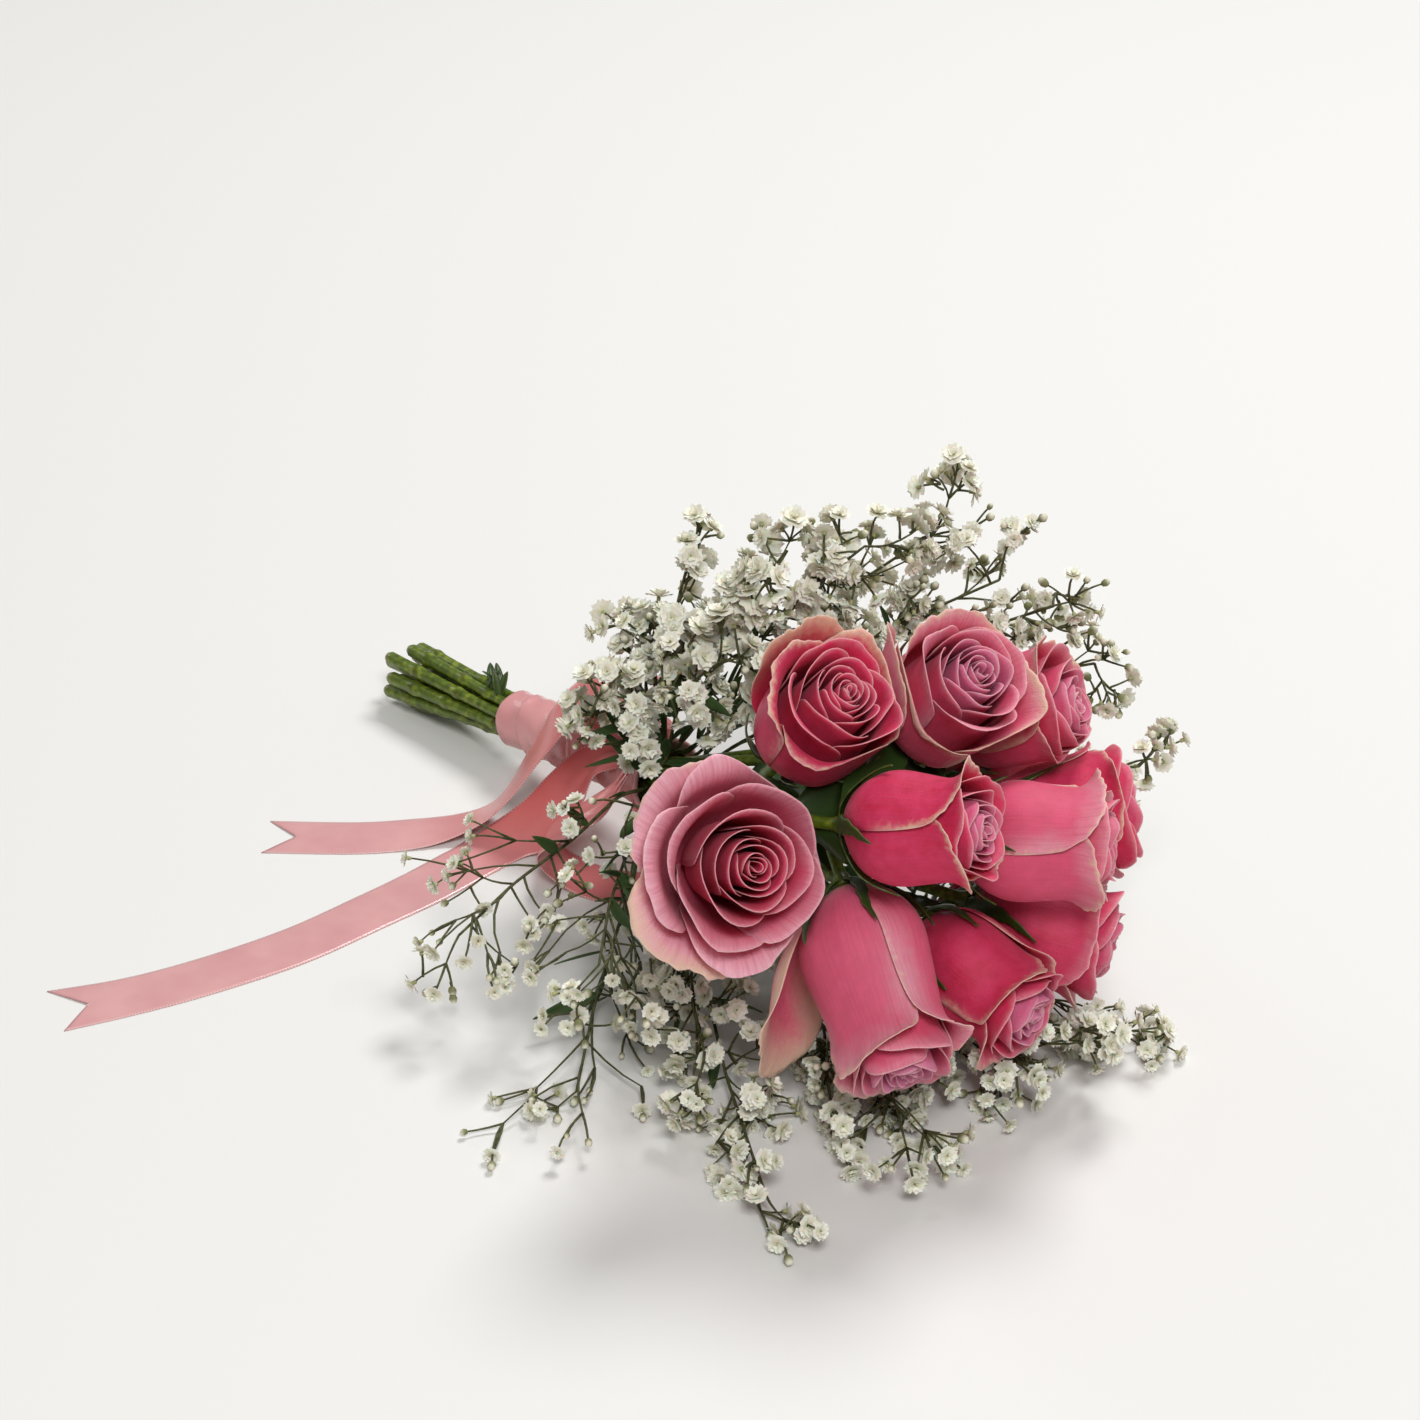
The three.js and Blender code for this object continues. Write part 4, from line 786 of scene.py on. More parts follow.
def catmull(points, count):
    """A curve through points: on each span the cubic whose slope at a point is half the
    difference of its neighbours, with the ends drawn out straight. Gives count + 1 points."""
    points = np.array([list(p) for p in points], float)
    padded = np.concatenate([[2 * points[0] - points[1]], points, [2 * points[-1] - points[-2]]])
    place = np.linspace(0, len(points) - 1, count + 1)
    k = np.minimum(place.astype(int), len(points) - 2)
    t = (place - k)[:, None]
    a, b, c, d = (padded[k + n] for n in range(4))
    squared, cubed = 2 * a - 5 * b + 4 * c - d, 3 * b - a - 3 * c + d
    return 0.5 * (2 * b + (c - a) * t + squared * t ** 2 + cubed * t ** 3)


PLACES = stem_places()


def stem_path(rose, index):
    """The cut end, the end of the wrap, then points on a curve that leaves the neck along the
    heading and comes to the calyx along the rose's axis, and the seat."""
    ring, angle = PLACES[index]
    cut = STEM_END + HANDLE * mix(-9, 9, draw(index + 40))
    seat = rose["base"] - rose["axis"] * SEAT_GAP
    calyx = seat - rose["axis"] * CALYX_LENGTH
    start = around(NECK, angle, ring)
    fan = [Vector(p) for p in catmull([start, start + HEADING * 14, seat - rose["axis"] * 30, calyx], 12)]
    return [around(cut, angle + HANDLE_TWIST, ring * CUT_END_SPREAD),
            around(WRAP_END, angle + HANDLE_TWIST * 0.35, ring),
            fan[0], fan[4], fan[4].lerp(fan[8], 0.4), fan[4].lerp(fan[8], 0.8), fan[8], calyx, seat]


def nearest_shares(p, q, r, s):
    """The nearest points of two straight runs, as shares of their lengths."""
    d, e, w = q - p, s - r, p - r
    a, b, c, f, g = d.dot(d), d.dot(e), e.dot(e), d.dot(w), e.dot(w)
    across = a * c - b * b
    first = min(1, max(0, (b * g - c * f) / across)) if across > 1e-6 else 0
    second = min(1, max(0, (b * first + g) / c))
    return min(1, max(0, (b * second - f) / a)), second


def off_blooms(point, radius, own=None):
    """Pushes a point out of the room that the blooms take up, apart from its own: a rounded
    cone that widens from the calyx to the bloom's reach."""
    for rose in ROSES:
        if rose is own:
            continue
        along = min(1, max(0, (point - rose["base"]).dot(rose["axis"]) / rose["height"]))
        off = point - rose["base"] - rose["axis"] * along * rose["height"]
        grown = min(1, along * 2.4)
        keep = mix(7, rose["reach"] + 2, grown * grown * (3 - 2 * grown)) + radius
        distance = off.length
        if distance < keep:
            point = point + off * ((keep - distance) / max(distance, 0.1))
    return point


def gives_way(path, k):
    """Whether a point of a stem is free to move."""
    return FIRST_FREE <= k < len(path) - FIXED_END


def push_apart(first, second):
    """Moves the ends of runs that come too close, each by its share, along the line between
    the runs' nearest points."""
    for i in range(FIRST_FREE - 1, len(first) - 1):
        for j in range(FIRST_FREE - 1, len(second) - 1):
            s, t = nearest_shares(first[i], first[i + 1], second[j], second[j + 1])
            off = second[j].lerp(second[j + 1], t) - first[i].lerp(first[i + 1], s)
            short = STEM_SPACING - off.length
            if short <= 0:
                continue
            off = off.normalized() * short * 0.6
            moves = ((first, i, s - 1), (first, i + 1, -s), (second, j, 1 - t), (second, j + 1, t))
            for path, k, share in moves:
                if gives_way(path, k):
                    path[k] = path[k] + off * share


def settle(paths):
    """Rounds of pushing stems apart and off the blooms."""
    for _ in range(ROUNDS):
        for a, first in enumerate(paths):
            for second in paths[a + 1:]:
                push_apart(first, second)
            for k in range(len(first)):
                if gives_way(first, k):
                    first[k] = off_blooms(first[k], STEM_RADIUS + 0.6, ROSES[a])
    return paths


STEM_PATHS = settle([stem_path(rose, k) for k, rose in enumerate(ROSES)])
print("stems settled:", len(STEM_PATHS))

# %% [markdown]
# ## Stems, sepals and leaves
#
# A stem is a tube along a rounded path. It swells at its scars, where leaves were stripped,
# and again below the bloom. Five sepals rise from the calyx and follow the outside of the bowl:
# long, narrow and pointed, each a strip of two parameters with a raised keel. As in the solid,
# there is none where a loose petal hangs or a neighbour presses hard. The few leaves that the
# florist left on sit near the blooms, where the gaps between them look dark and green; the
# broad ones and the extra ones are also there as painted shade, to darken those gaps.

# %% A leaf
def leaf_part(root, middle, tip, half_width, teeth=0.0, **marks):
    """A leaf on the curve through three points: (1 - t)^2 root + 2t(1 - t) middle + t^2 tip.
    Its half width rises fast, thins to a point and carries teeth, and its midrib lies low."""
    t = np.linspace(0, 1, 13)[:, None, None]
    root, middle, tip = (np.array(p) for p in (root, middle, tip))
    course = (1 - t) ** 2 * root + 2 * t * (1 - t) * middle + t ** 2 * tip
    side = np.cross(tip - root, middle - root + np.array([0.01, 0.02, 1.0]))
    side /= np.linalg.norm(side)
    across = np.linspace(-1, 1, 5)[None, :, None]
    wide = half_width * np.sin(math.pi * t ** 0.7) ** 0.8 * (1 + teeth * np.sin(t * 26)) + 0.15
    fold = np.cross(side, tip - root) / np.linalg.norm(tip - root)
    points = course + side * across * wide + fold * np.abs(across) * wide * 0.35
    return shell(points, 0.35, **marks)


# %% Sepals
SEPAL_REACH = 3.4
SEPAL_LENGTH = 50
SEPAL_KEEL_RISE = 0.9
SEPALS = 5
# A sepal that a press plane moves further than this is left out, as in the solid
MOST_SHIFT = 7.0
GUARD_ROOM = math.radians(50)


def sepal_part(rose, turn, seed):
    """A sepal: its half width follows a sine and thins out to its tip, with teeth and a keel,
    on a walk of its own just outside the outermost petal. Its end bends away from the bloom."""
    outermost = petal_measures(rose, 1, turn)
    bowl = (rose["belly"] + SEPAL_REACH - BASE_RADIUS) / BOWL_OUT
    cling = {**outermost, "curl": outermost["lean"] / 2, "bowl": bowl, "length": SEPAL_LENGTH}
    across = np.linspace(-1, 1, 7)[None, :]
    along = np.linspace(0, 1, 25)[:, None]
    longest = mix(0.55, 0.85, draw(seed + 0.5))
    out, up = walk(cling, across, mix(0.03, longest, along) + 0 * across, 0.0)
    out = out + 3.5 * draw(seed + 0.7) * along ** 3
    leafy = 1 + 0.5 * draw(seed + 0.9)
    pointed = np.sin(np.clip(along * 2.6 + 0.55, 0, math.pi / 2)) * (1 - along ** 1.8) ** 0.9
    half_width = 2.9 * leafy * pointed + 0.12
    teeth = 1 + 0.16 * np.sin(along * 30 + seed) * np.abs(across)
    angle = turn + across * teeth * half_width / out + 0.12 * np.sin(along * 4 + seed)
    keel = SEPAL_KEEL_RISE * (1 - np.abs(across)) * (1 - along)
    free = on_bloom(rose, angle, out + keel, up - 2.4)
    pressed = press(free, rose["planes"], 0.9)
    moved = np.linalg.norm(pressed - free, axis=-1)[:17].max()
    shade = 1 - 0.4 * np.abs(across) ** 3 + 0 * along
    return moved, shell(pressed[:, ::-1], 0.5, sepal=shade)


def across_way(way):
    """Two directions square to a way: one that is level, and one that rises from it."""
    level = RIGHT if abs(way.z) > STEEP else Vector((0, 0, 1))
    side = level.cross(way).normalized()
    return side, way.cross(side)


def sepals(rose, index, way):
    """Sepals at even turns from the stem's own first side, where there is room for them."""
    side, _ = across_way(way)
    start = math.atan2(side.dot(rose["left"]), side.dot(rose["top"])) + math.radians(16)
    parts = []
    for k in range(SEPALS):
        turn = start + 2 * math.pi * k / SEPALS
        off = [abs(math.remainder(turn - math.radians(guard[0]), 2 * math.pi)) for guard in rose["guards"]]
        moved, part = sepal_part(rose, turn, index * 5 + k)
        if moved < MOST_SHIFT and min(off, default=math.pi) > GUARD_ROOM:
            parts.append(part)
    return parts


# %% Make the stems
STEM_STEP, STEM_ROUNDING = 1.8, 11
# The stems that have more leaves than others, partly as painted shade that darkens the gaps between blooms
LEAFY = (1, 2, 4, 5, 7, 8)
# Where the tips of broad leaves close gaps between blooms, partly as painted shade for those dark gaps:
# right, up and near of the head's middle
FILLERS = {1: [(16, 36, 4)], 2: [(22, 24, 22)], 4: [(8, 40, 16), (-4, 20, 22)]}


def stem_tube(path, at, index):
    """A tube whose radius swells by a bell curve at each scar, towards the cut and up the
    calyx, and is rounded off over 1.2 mm at the cut by a square root."""
    # Scars stand 17 to 36 mm apart, from a drawn start
    scars = np.cumsum([mix(5, 26, draw(index + 70))] + [mix(17, 36, draw(index * 9 + k)) for k in range(4)])
    swell = np.exp(-((at[:, None] - scars) / 2.2) ** 2).max(1)
    calyx = ease((at - at[-1] + CALYX_LENGTH) / CALYX_LENGTH)
    radii = STEM_RADIUS * (1 + 0.3 * swell) + 0.7 * ease(1 - at / 70) + 2.3 * calyx ** 1.6
    radii = radii * (0.72 + 0.28 * np.sqrt(np.clip(at / 1.2, 0, 1)))
    scar = np.exp(-((at[:, None] - scars - 0.8) / 0.9) ** 2).max(1) * 0.9
    return tube(path, radii, 12, scar=scar, cut=np.exp(-at / 1.6), sepal=calyx * 0.5)


def handle_leaves(path, index):
    """Four small leaves above the wrap, on the stems that lie uppermost there."""
    if math.sin(PLACES[index][1] + 0.5 * HANDLE_TWIST) <= 0.75:
        return []
    parts = []
    for k in range(4):
        key = index + 5 * k + 0.2
        root = Vector(path[int(mix(50, 68, draw(key)) / STEM_STEP)])
        aim = RISE + SIDE * mix(-0.6, 0.9, draw(key + 1)) - HANDLE * mix(-0.6, 0.8, draw(key + 2))
        aim = aim.normalized() * mix(9, 14, draw(key + 3))
        parts.append(leaf_part(root, root + aim * 0.6 + RISE * 1.5, root + aim, 1.7, sepal=0.8))
    return parts


def calyx_leaves(path, index):
    """Toothed leaflets from the last quarter of the stem, bent off the blooms."""
    parts = []
    for k in range(5 if index in LEAFY else 3):
        key = index * 31 + 7 * k + 0.4
        root = Vector(path[int(mix(0.72, 0.95, draw(key)) * (len(path) - 1))])
        length = mix(22, 34, draw(key + 1))
        aim = (unit(key + 2) + HEADING * 0.3).normalized()
        middle = off_blooms(root + aim * length * 0.5, 5)
        tip = off_blooms(root + aim * length, 4)
        parts.append(leaf_part(root, middle, tip, mix(5, 8, draw(key + 3)), teeth=0.08, sepal=1.0))
    return parts


def filling_leaves(index):
    """Broad leaves whose tips lie at places of the head that show as gaps between blooms, partly
    as painted shade for those gaps. Each grows from the point of the stem that is nearest to
    34 mm from its tip."""
    path, _ = smooth_path([list(p) for p in STEM_PATHS[index]], 1.6, STEM_ROUNDING)
    parts = []
    for place in FILLERS.get(index, []):
        tip = HEAD + seen(place)
        root = min((Vector(p) for p in path[len(path) // 2:]), key=lambda p: abs((p - tip).length - 34))
        middle = off_blooms(root.lerp(tip, 0.5) + NEAR * 2, 3)
        parts.append(leaf_part(root, middle, tip, 9, teeth=0.06, sepal=1.0))
    return parts


for index, rose in enumerate(ROSES):
    number = f"{index + 1:02d}"
    path, at = smooth_path([list(p) for p in STEM_PATHS[index]], STEM_STEP, STEM_ROUNDING)
    way = Vector(path[-1] - path[-2]).normalized()
    parts = [stem_tube(path, at, index)] + sepals(rose, index, way)
    parts += handle_leaves(path, index) + calyx_leaves(path, index) + filling_leaves(index)
    make_piece(f"rose_green_{number}", parts, ("scar", "cut", "sepal"), f"rose_stem_{number}", STEM)
    print("stem", number, "length", round(at[-1]), "mm, sepals and leaves:", len(parts) - 1)

# %% [markdown]
# ## Where the baby's breath goes
#
# Each spray starts in the wrap's mouth, in a ring round the stems, and bows to the place where
# its flowers gather. Its points are kept above the table, outside the blooms, in a sector of
# its own and clear of the stems, by the same rules as the solids. What the solids leave out is
# told here for each spray as well: how many more branches it has and how they spread.

# %% Spray paths
# Each row: the tip of the stalk, how wide the solid's twigs spread and how much the stalk bows;
# how many more branches it has, from which share of it on, how far they reach and how much they
# are flattened towards the table; side twigs on each of the solid's twigs, and leaves; the size
# of the florets, and the share of tips that are still buds
SPRAY_KEYS = ("to", "spread", "bow", "branches", "branches_from", "reach", "flat", "side_twigs", "leaves",
              "floret_size", "budding")
SPRAYS = [dict(zip(SPRAY_KEYS, row)) for row in [
    # Over the handle and behind the head, where the florets are largest
    ((-12, -128, 128), 26, 10, 10, 0.5, 1.0, 0, 3, 8, 1.2, 0.2),
    ((-20, -122, 98), 20, 14, 5, 0.5, 1.0, 0, 2, 8, 1.2, 0.2),
    ((-36, -140, 74), 22, 22, 9, 0.5, 1.0, 0, 2, 8, 1.2, 0.2),
    ((5, -165, 118), 20, 8, 10, 0.5, 1.0, 0, 3, 8, 1.2, 0.2),
    ((30, -150, 158), 22, 8, 10, 0.5, 1.0, 0, 3, 8, 1.2, 0.2),
    ((60, -150, 160), 22, 8, 10, 0.5, 1.0, 0, 3, 8, 1.2, 0.35),
    ((90, -114, 148), 26, 8, 8, 0.7, 1.0, 0, 3, 8, 1.2, 0.35),
    # At the right, with more buds
    ((134, -158, 138), 24, 8, 12, 0.7, 1.0, 0, 3, 8, 0.95, 0.5),
    ((150, -168, 118), 22, 8, 12, 0.7, 1.0, 0, 3, 8, 0.95, 0.5),
    ((165, -205, 92), 16, 4, 9, 0.7, 0.7, 0, 3, 8, 0.95, 0.5),
    # In front, low and dense
    ((157, -260, 9), 22, -6, 20, 0.62, 1.0, 0, 3, 8, 0.95, 0.2),
    ((121, -288, 20), 22, -6, 28, 0.62, 1.4, 0.6, 3, 8, 0.95, 0.2),
    ((72, -322, 14), 24, -8, 32, 0.62, 1.4, 0.6, 3, 8, 0.95, 0.2),
    ((20, -360, 7), 24, -6, 14, 0.62, 1.0, 0, 3, 8, 0.95, 0.2),
    # Sixteen leaves, partly as painted shade: dark leaves low under the head, where the table lies in shadow
    ((-2, -296, 24), 24, 0, 16, 0.62, 1.0, 0, 3, 16, 0.95, 0.2),
    # At the left, long bare twigs over the table
    ((-97, -233, 34), 26, 2, 11, 0.45, 1.7, 1.0, 1, 3, 0.85, 0.55),
    ((-50, -296, 6), 26, -2, 12, 0.45, 1.7, 1.0, 1, 9, 0.85, 0.55),
    ((-42, -262, 40), 26, 4, 12, 0.45, 1.7, 0.8, 1, 9, 0.85, 0.55),
    # Close behind the blooms
    ((114, -140, 140), 26, 6, 12, 0.6, 1.0, 0, 3, 8, 0.95, 0.5),
    ((60, -105, 96), 26, 6, 8, 0.5, 1.0, 0, 3, 8, 1.1, 0.2),
]]
MOUTH_RADIUS, MOUTH_DEPTH, PAST_MOUTH = 12.15, 5, 11
STALK_RADIUS = 0.75
STALK_SPACING = STEM_RADIUS + STALK_RADIUS + 0.5
COURSE_STEPS = 5
FLORET_RADIUS, BUD_RADIUS = 4.7, 1.5


def set_sprays():
    """Gives each spray its heading, its place round the mouth in even turns, and the walls of
    its sector, which face the headings of the others."""
    for spray in SPRAYS:
        spray["to"] = Vector(spray["to"])
        spray["way"] = (spray["to"] - NECK).normalized()
        spray["angle"] = off_heading(spray["way"])[1]
    in_turn = sorted(SPRAYS, key=lambda spray: spray["angle"])
    for spray, angle in zip(in_turn, even_turns([spray["angle"] for spray in in_turn])):
        spray["mouth"] = around(NECK + HEADING * MOUTH_DEPTH, angle, MOUTH_RADIUS)
    for spray in SPRAYS:
        others = [other for other in SPRAYS if other is not spray]
        spray["walls"] = [(other["way"] - spray["way"]).normalized() for other in others]


def clear(point, spray, radius):
    """Keeps a point above the table, outside the blooms and in the spray's own sector."""
    for _ in range(6):
        point = off_blooms(point, radius)
        for wall in spray["walls"]:
            past = (point - NECK).dot(wall) + radius + 0.3
            if past > 0:
                point = point - wall * past
        point.z = max(point.z, radius)
    return point


def off_stems(path, spray):
    """Twelve rounds of bending a stalk clear of the stems."""
    for _ in range(12):
        for other in STEM_PATHS:
            for i in range(1, len(path) - 1):
                for j in range(2, len(other) - 1):
                    s, t = nearest_shares(path[i], path[i + 1], other[j], other[j + 1])
                    off = path[i].lerp(path[i + 1], s) - other[j].lerp(other[j + 1], t)
                    short = STALK_SPACING - off.length
                    if short <= 0:
                        continue
                    off = off.normalized() * short
                    if i > 1:
                        path[i] = path[i] + off * (1 - s)
                    path[i + 1] = path[i + 1] + off * s
        for k in range(2, len(path)):
            path[k] = clear(path[k], spray, 1.2)
    return path


def spray_course(spray):
    """From the mouth along the heading, and then on a curve that bows to the tip."""
    length = (spray["to"] - spray["mouth"]).length
    middle = spray["mouth"].lerp(spray["to"], 0.5) + Vector((0, 0, spray["bow"]))
    past = spray["mouth"] + HEADING * PAST_MOUTH
    leaving = past + HEADING * 0.08 * length
    course = catmull([past, leaving, middle, spray["to"]], COURSE_STEPS)[2:]
    return off_stems([spray["mouth"], past, *[Vector(p) for p in course]], spray)


def triangle_across(centre, way, radius):
    """The corners of a small triangle across a way, turned as in the solids."""
    side, rise = across_way(way)
    turns = [2 * math.pi * k / 3 for k in range(3)]
    return [centre + side * radius * math.cos(turn) + rise * radius * math.sin(turn) for turn in turns]


def branch_tips(root, fork, spray, seed):
    """The three tips of a branch: one out over each facet of its small point, then pushed
    apart and clear for twelve rounds."""
    aim = (fork - root).normalized()
    corners = triangle_across(fork, aim, 0.9)
    tips = []
    for c, lean in enumerate((0.45, 0.7, 0.8)):
        out = (corners[c] + corners[(c + 1) % 3] + fork + aim) / 3 - fork
        out = (out - aim * out.dot(aim)).normalized()
        way = aim * math.cos(lean) + out * math.sin(lean)
        tips.append(fork + way * spray["spread"] * mix(0.4, 0.7, draw(seed + 3 * c + 1)))
    for _ in range(12):
        for c in range(3):
            for d in range(3):
                if c == d:
                    continue
                _, along = nearest_shares(tips[c], tips[c] + Vector((0, 0, 0.01)), fork, tips[d])
                off = tips[c] - fork.lerp(tips[d], along)
                keep = 2 * FLORET_RADIUS + 0.8 if along > 0.85 else FLORET_RADIUS + 1.6
                if off.length < keep:
                    tips[c] = tips[c] + off * ((keep - off.length) / max(off.length, 0.1))
            tips[c] = clear(tips[c], spray, BUD_RADIUS if c == 2 else FLORET_RADIUS)
    return tips


# %% [markdown]
# ## Florets
#
# A floret of baby's breath is a double flower of 6 to 12 mm: fourteen ruffled petals in three
# whorls over a green cup. There are very many, so each has only about seventy faces: a petal is
# a strip of two by two quads, bent up at its sides. One floret is worked out once and then set
# at every tip, turned and scaled by whole arrays.

# %% Floret and bud shapes
# Petals, their length, how far they are lifted, and the turn of the first in steps
FLORET_WHORLS = [(6, 1.0, 0.15, 0.0), (5, 0.88, 0.62, 0.5), (3, 0.66, 1.1, 0.2)]


def floret_shape():
    """Petals in whorls. Each point is at a share of its petal's length: out by the cosine of
    the petal's lift, up by its sine, and to the side by the petal's width."""
    corners, faces, heart = [], [], []
    across, along = np.meshgrid([-1, 0, 1], [0, 0.6, 1], indexing="xy")
    width = np.interp(along, [0, 0.6, 1], [0.12, 0.44, 0.36])
    for count, length, lift, start in FLORET_WHORLS:
        for k in range(count):
            turn = 2 * math.pi * (k + start) / count + 0.3 * draw(k + 10 * count)
            rise = lift + 0.25 * (draw(k + 20 * count) - 0.5)
            out = along * length * math.cos(rise) * (1 - 0.1 * (across == 0) * (along == 1))
            up = along * length * math.sin(rise) + 0.12 * np.abs(across) * along - 0.12 * along ** 2
            x = out * math.cos(turn) - across * width * length * math.sin(turn)
            y = out * math.sin(turn) + across * width * length * math.cos(turn)
            faces.append(grid_faces(3, 3, start=9 * len(corners)))
            corners.append(np.stack([x, y, up + 0.1], -1).reshape(-1, 3))
            heart.append((0.6 * (1 - along) ** 3).ravel())
    return np.concatenate(corners), np.concatenate(faces), np.concatenate(heart)


def ball_shape(sides, levels, length):
    """A closed drop: rings whose radius is the sine of the angle from one pole to the other."""
    angle = np.linspace(0, math.pi, levels + 2)[1:-1, None]
    turn = np.linspace(0, 2 * math.pi, sides, endpoint=False)[None, :]
    ring = np.stack([np.sin(angle) * np.cos(turn), np.sin(angle) * np.sin(turn),
                     -length * np.cos(angle) + 0 * turn], -1).reshape(-1, 3)
    poles = np.array([[0, 0, -length], [0, 0, length]])
    return np.concatenate([ring, poles]), capped_faces(levels, sides)


def set_out(shape, centres, ways, radii, turns, **marks):
    """Copies of a shape: each corner goes to centre + radius * (x side + y rise + z way)."""
    corners, faces = shape[:2]
    count = len(centres)
    way = ways / np.linalg.norm(ways, axis=1, keepdims=True)
    level = np.where(np.abs(way[:, 2:]) > STEEP, [[1.0, 0, 0]], [[0, 0, 1.0]])
    side = np.cross(level, way)
    side /= np.linalg.norm(side, axis=1, keepdims=True)
    rise = np.cross(way, side)
    c, s = np.cos(turns)[:, None], np.sin(turns)[:, None]
    side, rise = side * c + rise * s, rise * c - side * s
    placed = (corners[None, :, :1] * side[:, None] + corners[None, :, 1:2] * rise[:, None]
              + corners[None, :, 2:] * way[:, None])
    placed = centres[:, None] + placed * radii[:, None, None]
    every = (faces[None] + len(corners) * np.arange(count)[:, None, None]).reshape(-1, 4)
    spread = {key: np.tile(np.broadcast_to(value, len(corners)), count) for key, value in marks.items()}
    return {"corners": placed.reshape(-1, 3), "faces": every, **spread}


FLORET = floret_shape()
CUP = ball_shape(5, 2, 1.5)
BUD = ball_shape(6, 3, 1.25)
print("faces of one floret:", len(FLORET[1]) + len(CUP[1]))

# %% [markdown]
# ## Sprays
#
# From the stalk come three branches, and each of them forks into three twigs, as in the solid.
# The real plant forks again and again, so here each twig also carries side twigs, and many
# more branches leave the stalk, each with three or five twigs of its own, which end in more
# florets and in buds. All twigs of a spray are tubes with four sides.

# %% Twigs, leaves and flowers of a spray
TWIG_RADII = (0.58, 0.4)
# Every third twig of the solid's forks ends in a bud
FORKS, BUD_TWIG = 3, 2
# Branches that reach further than this are long and bare, with fewer twigs
LONG_REACH = 1.5


def twig(start, end, seed):
    """A thin tube from start to end that bows a little to one side, by half a sine."""
    start, end = np.array(start), np.array(end)
    share = np.linspace(0, 1, 4)[:, None]
    bow = np.array(unit(seed)) * 0.07 * np.linalg.norm(end - start)
    path = mix(start, end, share) + bow * np.sin(math.pi * share)
    return tube(path, np.linspace(*TWIG_RADII, 4), 4)


def flattened(way, share):
    """A way whose rise is taken away by a share, and that then dips a little."""
    return Vector((way.x, way.y - 0.3 * share, way.z * (1 - 0.9 * share) - 0.15 * share)).normalized()


def forked_twigs(spray, main, seed, flowers, buds):
    """The solid's own branches, their three twigs each, and side twigs on those."""
    parts = []
    for b in range(FORKS):
        root = main[COURSE_STEPS - 2 + b]
        aim = (unit(seed + b * 10) + spray["way"] * 0.7).normalized()
        fork = clear(root + aim * spray["spread"] * mix(0.4, 0.65, draw(seed + b)), spray, 1.2)
        parts.append(twig(root, fork, seed + b))
        for c, tip in enumerate(branch_tips(root, fork, spray, seed + b * 10)):
            parts.append(twig(fork, tip, seed + b * 10 + c))
            (buds if c == BUD_TWIG else flowers).append((tip, tip - fork))
            for k in range(spray["side_twigs"]):
                key = seed + b * 37 + c * 11 + k * 3 + 0.5
                joint = fork.lerp(tip, mix(0.3, 0.75, draw(key)))
                away = ((tip - fork).normalized() * 0.7 + unit(key + 0.25)).normalized()
                end = clear(joint + away * mix(6, 15, draw(key + 1)), spray, 2.6)
                parts.append(twig(joint, end, key))
                (buds if draw(key + 2) < spray["budding"] else flowers).append((end, end - joint))
    return parts


def more_twigs(spray, path, seed, flowers, buds):
    """Branches at even shares of the rest of the stalk, each with twigs that fan out from it."""
    parts = []
    reach, count = spray["reach"], spray["branches"]
    for b in range(count):
        key = seed + 61 * b + 0.3
        share = mix(spray["branches_from"], 0.98, (b + draw(key)) / count)
        flat = spray["flat"] * share
        root = Vector(path[int(share * (len(path) - 1))])
        aim = flattened(unit(key + 1) + spray["way"] * 0.6, flat)
        fork = clear(root + aim * reach * mix(10, 24, draw(key + 2)), spray, 3)
        parts.append(twig(root, fork, key))
        for k in range(3 if reach > LONG_REACH else 5):
            away = flattened((fork - root).normalized() * 0.8 * reach + unit(key + 7 * k + 4), flat)
            end = clear(fork + away * reach * mix(6, 16, draw(key + k + 5)), spray, 2.6)
            parts.append(twig(fork, end, key + k))
            (buds if draw(key + 9 * k + 6) < spray["budding"] else flowers).append((end, end - fork))
    return parts


def spray_leaves(spray, path, seed):
    """Narrow leaves at even shares of the stalk's lower part."""
    parts = []
    for b in range(spray["leaves"]):
        key = seed + 17 * b + 0.7
        share = mix(0.12, 0.7, (b + draw(key)) / spray["leaves"])
        root = Vector(path[int(share * (len(path) - 1))])
        aim = (unit(key + 1) + spray["way"]).normalized()
        length = mix(16, 30, draw(key + 2))
        middle = clear(root + aim * length * 0.5, spray, 1.5)
        tip = clear(root + aim * length + unit(key + 3) * 3, spray, 1.5)
        parts.append(leaf_part(root, middle, tip, mix(1.6, 2.8, draw(key + 4)), leaf=1.0))
    return parts


def tips_and_ways(tips):
    """The places of some tips and the unit ways that they point, as arrays."""
    return np.array([list(tip) for tip, _ in tips]), np.array([list(way.normalized()) for _, way in tips])


def set_flowers(flowers, buds, seed, size):
    """Florets and their cups on the tips, and buds, as copies of three shapes."""
    keys = seed + np.arange(len(flowers)) * 1.7
    tips, ways = tips_and_ways(flowers)
    radii = FLORET_RADIUS * size * mix(0.72, 1.08, draws(keys))
    turns = 2 * math.pi * draws(keys + 1)
    florets = set_out(FLORET, tips - ways, ways, radii, turns, white=1.0, heart=FLORET[2])
    cups = set_out(CUP, tips - ways * 1.3, ways, np.ones(len(flowers)), turns, white=0.2, heart=0.5)
    keys = seed + 50 + np.arange(len(buds)) * 1.3
    tips, ways = tips_and_ways(buds)
    radii = BUD_RADIUS * mix(0.8, 1.35, draws(keys))
    opening = np.clip(BUD[0][:, 2] * 0.9 + 0.1, 0, 0.9)
    return [florets, cups, set_out(BUD, tips, ways, radii, 6 * draws(keys + 1), white=opening, heart=0.25)]


